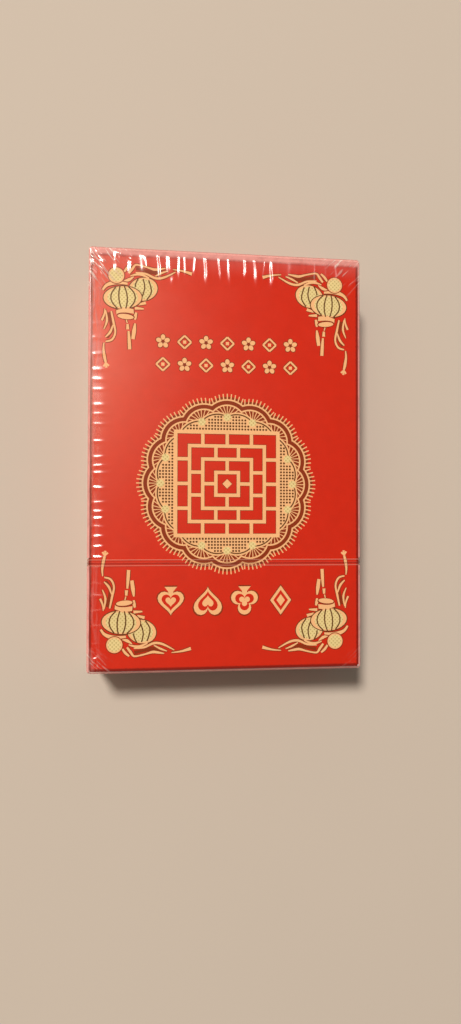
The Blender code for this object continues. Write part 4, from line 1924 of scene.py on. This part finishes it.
def fit_wrap(verts):
    """Moves points of a flat tube onto the wrap's rounded and crinkled skin."""
    radius = sizes().wrap_radius / MM
    places = np.array([v.co for v in verts])
    core = np.array((WRAP_HALF_X - radius, WRAP_HALF_Z - radius))
    section = places[:, (0, 2)] - (0.0, WRAP_HALF_Z)
    inner = np.clip(section, -core, core)
    ways = section - inner
    ways /= np.linalg.norm(ways, axis=1)[:, None]
    past = np.clip(np.abs(places[:, 1]) - WRAP_END + END_ROUND, 0.0, END_ROUND)
    drawn_in = END_ROUND - np.sqrt(END_ROUND**2 - past**2)
    round_share = (past / END_ROUND) ** 2
    stand_off = np.abs(ways[:, 0]) * lip(places[:, 2]) * (1 - round_share)
    reach = radius + wrap_lift(places) + stand_off - drawn_in
    section = inner + ways * reach[:, None]
    heights = np.maximum(section[:, 1] + WRAP_HALF_Z, 0.0)
    lengths = places[:, 1] + np.sign(places[:, 1]) * lip(heights) * round_share
    for vert, spot in zip(verts, zip(section[:, 0], lengths, heights)):
        vert.co = spot


def crinkled(spot):
    """Whether a spot lies on the crinkled stretches of the face: left edge, far end and corners."""
    from_left = spot.x + WRAP_HALF_X
    from_far = WRAP_END - spot.y
    from_corner = max(WRAP_HALF_X - abs(spot.x), WRAP_END - abs(spot.y))
    near_edge = from_left < FINE_SIDE or from_far < FINE_END or from_corner < FINE_CORNER
    return spot.z > WRAP_TOP - FRONT_FROM and near_edge


def wrap_tube(bm, rows):
    """A tube of wrap round the carton through the rows, with finer faces where it's crinkled."""
    section = wrap_section()
    verts = lay_grid(bm, [[Vector((x, y, z + WRAP_HALF_Z)) for x, z in section] for y in rows], 0)
    bmesh.ops.remove_doubles(bm, verts=verts, dist=1e-4)
    fine = {e for f in bm.faces if crinkled(f.calc_center_median()) for e in f.edges}
    bmesh.ops.subdivide_edges(
        bm, edges=list(fine), cuts=FINE_CUTS, use_grid_fill=True, use_single_edge=True,
    )
    fit_wrap(bm.verts[:])


def laminate_tape(bm, tear):
    """Makes the wrap's strip along the tear line thicker on its inner side."""
    taped = [f for f in bm.faces if abs(f.calc_center_median().y - tear) < TAPE_WIDTH]
    for face in taped:
        face.material_index = TAPE_SHEET
    bm.normal_update()
    axis = Vector((0.0, tear, WRAP_HALF_Z))
    inner = [v for v in {v for f in taped for v in f.verts} if v.normal.dot(v.co - axis) < 0]
    moves = [(v, v.normal * TAPE_THICKNESS) for v in inner]
    for vert, move in moves:
        vert.co += move


# Envelope folds that close the wrap's ends, in millimetres. A stand is how far its root and tip are off

FLAP_ROWS = 6
FLAP_COLUMNS = 16
FLAP_FILM = 0.035
FLAP_WAVE = (-0.02, 0.02)
FLAP_OVERLAP = 0.03
FLAP_DEPTH = 9.2
FLAP_TIP = 0.05
SIDE_STAND = (0.01, 0.02)
LOWER_STAND = (0.03, 0.06)
UPPER_STAND = (0.05, 0.09)
FAR_FOLD_SEED = 11
NEAR_FOLD_SEED = 12


def fold_flap(bm, corners, outwards, stand, draw):
    """One flap of an envelope fold: a thin sheet whose free edge stands off a little."""
    a, b, c, d = (Vector(p) for p in corners)
    rows = []
    for j in range(FLAP_ROWS + 1):
        v = j / FLAP_ROWS
        wave = draw.uniform(*FLAP_WAVE)
        row = []
        for i in range(FLAP_COLUMNS + 1):
            u = i / FLAP_COLUMNS
            spot = a.lerp(b, u).lerp(d.lerp(c, u), v)
            lift = stand[0] + (stand[1] - stand[0]) * v + wave * math.sin(math.pi * u) * v
            row.append(spot + outwards * (lift + lip(spot.z)))
        rows.append(row)
    verts = lay_grid(bm, rows, 0)
    faces = list({f for vert in verts for f in vert.link_faces})
    made = bmesh.ops.extrude_face_region(bm, geom=faces)
    for vert in new_verts(made["geom"]):
        vert.co += outwards * FLAP_FILM


def envelope_folds(bm, end):
    """The four folded flaps that close the wrap's end, as on an envelope."""
    draw = random.Random(FAR_FOLD_SEED if end > 0 else NEAR_FOLD_SEED)
    out = Vector((0, math.copysign(1.0, end), 0))
    edge = END_ROUND - FLAP_OVERLAP
    x, low, high = WRAP_HALF_X - edge, edge, WRAP_TOP - edge
    middle = WRAP_HALF_Z
    inner = x - FLAP_DEPTH
    for side in (-1, 1):
        corners = (
            (side * x, end, low), (side * x, end, high),
            (side * inner, end, middle + FLAP_TIP), (side * inner, end, middle - FLAP_TIP),
        )
        fold_flap(bm, corners, out, SIDE_STAND, draw)
    for root, stand in ((low, LOWER_STAND), (high, UPPER_STAND)):
        corners = ((-x, end, root), (x, end, root), (inner, end, middle), (-inner, end, middle))
        fold_flap(bm, corners, out, stand, draw)


def wrap_piece(name, tear, end, body, node, with_tape):
    """One half of the clear wrap, from the tear line to its folded end."""
    bm = bmesh.new()
    wrap_tube(bm, wrap_rows(tear, end))
    bmesh.ops.recalc_face_normals(bm, faces=bm.faces[:])
    bmesh.ops.solidify(bm, geom=bm.faces[:], thickness=sizes().wrap / MM)
    if with_tape:
        laminate_tape(bm, tear)
    before = set(bm.faces)
    envelope_folds(bm, end)
    bmesh.ops.recalc_face_normals(bm, faces=[f for f in bm.faces if f not in before])
    bmesh.ops.scale(bm, vec=(MM, MM, MM), verts=bm.verts[:])
    piece = make_piece(name, bm, [clear_wrap(), tear_tape()], smooth=60)
    return carry(piece, body, "film", node)


# Stage

FLOOR_HALF = 3.0
FLOOR_SEGMENTS = 8
SKY_COLOUR = (1.0, 0.985, 0.965, 1.0)
SKY_STRENGTH = 0.15
CLIP_START = 0.01
KEY_WAY = Vector((-0.287, 0.387, 0.876)).normalized()
KEY_DISTANCE = 2.5

# Lamps: name, place and breadth in metres, watts and colour
LAMPS = (
    ("key_lamp", KEY_DISTANCE * KEY_WAY, 0.40, 60.0, (1.0, 0.96, 0.90)),
    ("haze_panel", Vector((-0.94, 0.40, 1.5)), 1.24, 4.4, (1.0, 0.80, 0.50)),
)


def lay_floor():
    bm = bmesh.new()
    bmesh.ops.create_grid(bm, x_segments=FLOOR_SEGMENTS, y_segments=FLOOR_SEGMENTS, size=FLOOR_HALF)
    floor = make_piece("floor", bm, [plain_floor()])


def set_world():
    world = bpy.data.worlds.new("studio")
    bpy.context.scene.world = world
    world.use_nodes = True
    sky = world.node_tree.nodes["Background"]
    sky.inputs["Color"].default_value = SKY_COLOUR
    sky.inputs["Strength"].default_value = SKY_STRENGTH


def add_lamp(name, place, across, watts, colour):
    """A round area lamp that looks at the deck."""
    lamp = bpy.data.lights.new(name, "AREA")
    lamp.shape = "DISK"
    lamp.size = across
    lamp.energy = watts
    lamp.color = colour
    made = bpy.data.objects.new(name, lamp)
    made.location = place
    made.rotation_euler = (-place).to_track_quat("-Z", "Y").to_euler()
    bpy.context.scene.collection.objects.link(made)


def add_camera():
    lens = bpy.data.cameras.new("photo_camera")
    lens.sensor_width = SENSOR_LONG_SIDE
    lens.lens = FOCAL_PIXELS / PHOTO_HEIGHT * SENSOR_LONG_SIDE
    lens.clip_start = CLIP_START
    made = bpy.data.objects.new("photo_camera", lens)
    back = -CAMERA_LOOK.normalized()
    right = CAMERA_UP.cross(back).normalized()
    up = back.cross(right)
    turn = Matrix((right, up, back)).transposed().to_4x4()
    made.matrix_world = Matrix.Translation(CAMERA_PLACE) @ turn
    bpy.context.scene.collection.objects.link(made)
    bpy.context.scene.camera = made


# Operators, one for each piece or group of like pieces


class DECK_OT_carton(bpy.types.Operator):
    """Make the carton's folded body"""

    bl_idname = "deck.carton"
    bl_label = "Carton"

    def execute(self, context):
        carton_body()
        return {"FINISHED"}


class DECK_OT_closure(bpy.types.Operator):
    """Make the lid, the tuck tongue and the two dust flaps"""

    bl_idname = "deck.closure"
    bl_label = "Lid, tongue and flaps"

    def execute(self, context):
        lid()
        tongue()
        dust_flap("flap_left", "dust_flap_left", "left_flap", -1)
        dust_flap("flap_right", "dust_flap_right", "right_flap", 1)
        creases()
        return {"FINISHED"}


class DECK_OT_face_print(bpy.types.Operator):
    """Print the front and back with medallions, lanterns, pips and rows, and frame the sides and ends"""

    bl_idname = "deck.face_print"
    bl_label = "Print"

    def execute(self, context):
        for face, place in (("front", front_place()), ("back", back_place())):
            medallion(face + "_medallion", place)
            lantern_corners(face + "_lanterns", place)
            face_pips(face + "_pips", place)
            ornament_rows(face + "_rows", place)
        framed_pips("left_print", side_place(-1), *SIDE_FRAME)
        framed_pips("right_print", side_place(1), *SIDE_FRAME)
        framed_pips("lid_print", end_place(-1), *END_FRAME, "lid")
        framed_pips("bottom_print", end_place(1), *END_FRAME)
        return {"FINISHED"}


class DECK_OT_cards(bpy.types.Operator):
    """Make the fifty-two cards and the pair of jokers"""

    bl_idname = "deck.cards"
    bl_label = "Cards"

    def execute(self, context):
        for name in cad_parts:
            if name.startswith("card_"):
                card(name)
        return {"FINISHED"}


class DECK_OT_wrap(bpy.types.Operator):
    """Make the two halves of the clear wrap with the tear tape"""

    bl_idname = "deck.wrap"
    bl_label = "Clear wrap"

    def execute(self, context):
        wrap_piece("wrap_sleeve", TEAR_SLEEVE, WRAP_END, "carton", "film_sleeve", False)
        wrap_piece("wrap_cap", TEAR_CAP, -WRAP_END, "film_cap", "film_cap", True)
        return {"FINISHED"}


class DECK_OT_stage(bpy.types.Operator):
    """Lay a plain floor, set the lamps and the photograph's camera"""

    bl_idname = "deck.stage"
    bl_label = "Stage"

    def execute(self, context):
        lay_floor()
        set_world()
        for lamp in LAMPS:
            add_lamp(*lamp)
        add_camera()
        context.scene.view_settings.view_transform = "Standard"
        return {"FINISHED"}


class DECK_PT_panel(bpy.types.Panel):
    """Lists the deck's operators, sizes and colours"""

    bl_label = "Deck of cards"
    bl_idname = "DECK_PT_panel"
    bl_space_type = "VIEW_3D"
    bl_region_type = "UI"
    bl_category = "Deck"

    def draw(self, context):
        for operator in OPERATORS:
            self.layout.operator(operator.bl_idname)
        for group in (context.scene.deck_sizes, context.scene.deck_colours):
            for name in group.__annotations__:
                self.layout.prop(group, name)


OPERATORS = (
    DECK_OT_carton,
    DECK_OT_closure,
    DECK_OT_face_print,
    DECK_OT_cards,
    DECK_OT_wrap,
    DECK_OT_stage,
)
CLASSES = (DeckSizes, DeckColours, *OPERATORS, DECK_PT_panel)


def register():
    for cls in CLASSES:
        bpy.utils.register_class(cls)
    bpy.types.Scene.deck_sizes = PointerProperty(type=DeckSizes)
    bpy.types.Scene.deck_colours = PointerProperty(type=DeckColours)


def unregister():
    del bpy.types.Scene.deck_colours
    del bpy.types.Scene.deck_sizes
    for cls in reversed(CLASSES):
        bpy.utils.unregister_class(cls)


def main():
    """Makes every piece in order."""
    register()
    bpy.ops.deck.carton()
    bpy.ops.deck.closure()
    bpy.ops.deck.face_print()
    bpy.ops.deck.cards()
    bpy.ops.deck.wrap()
    bpy.ops.deck.stage()


if __name__ == "__main__":
    main()
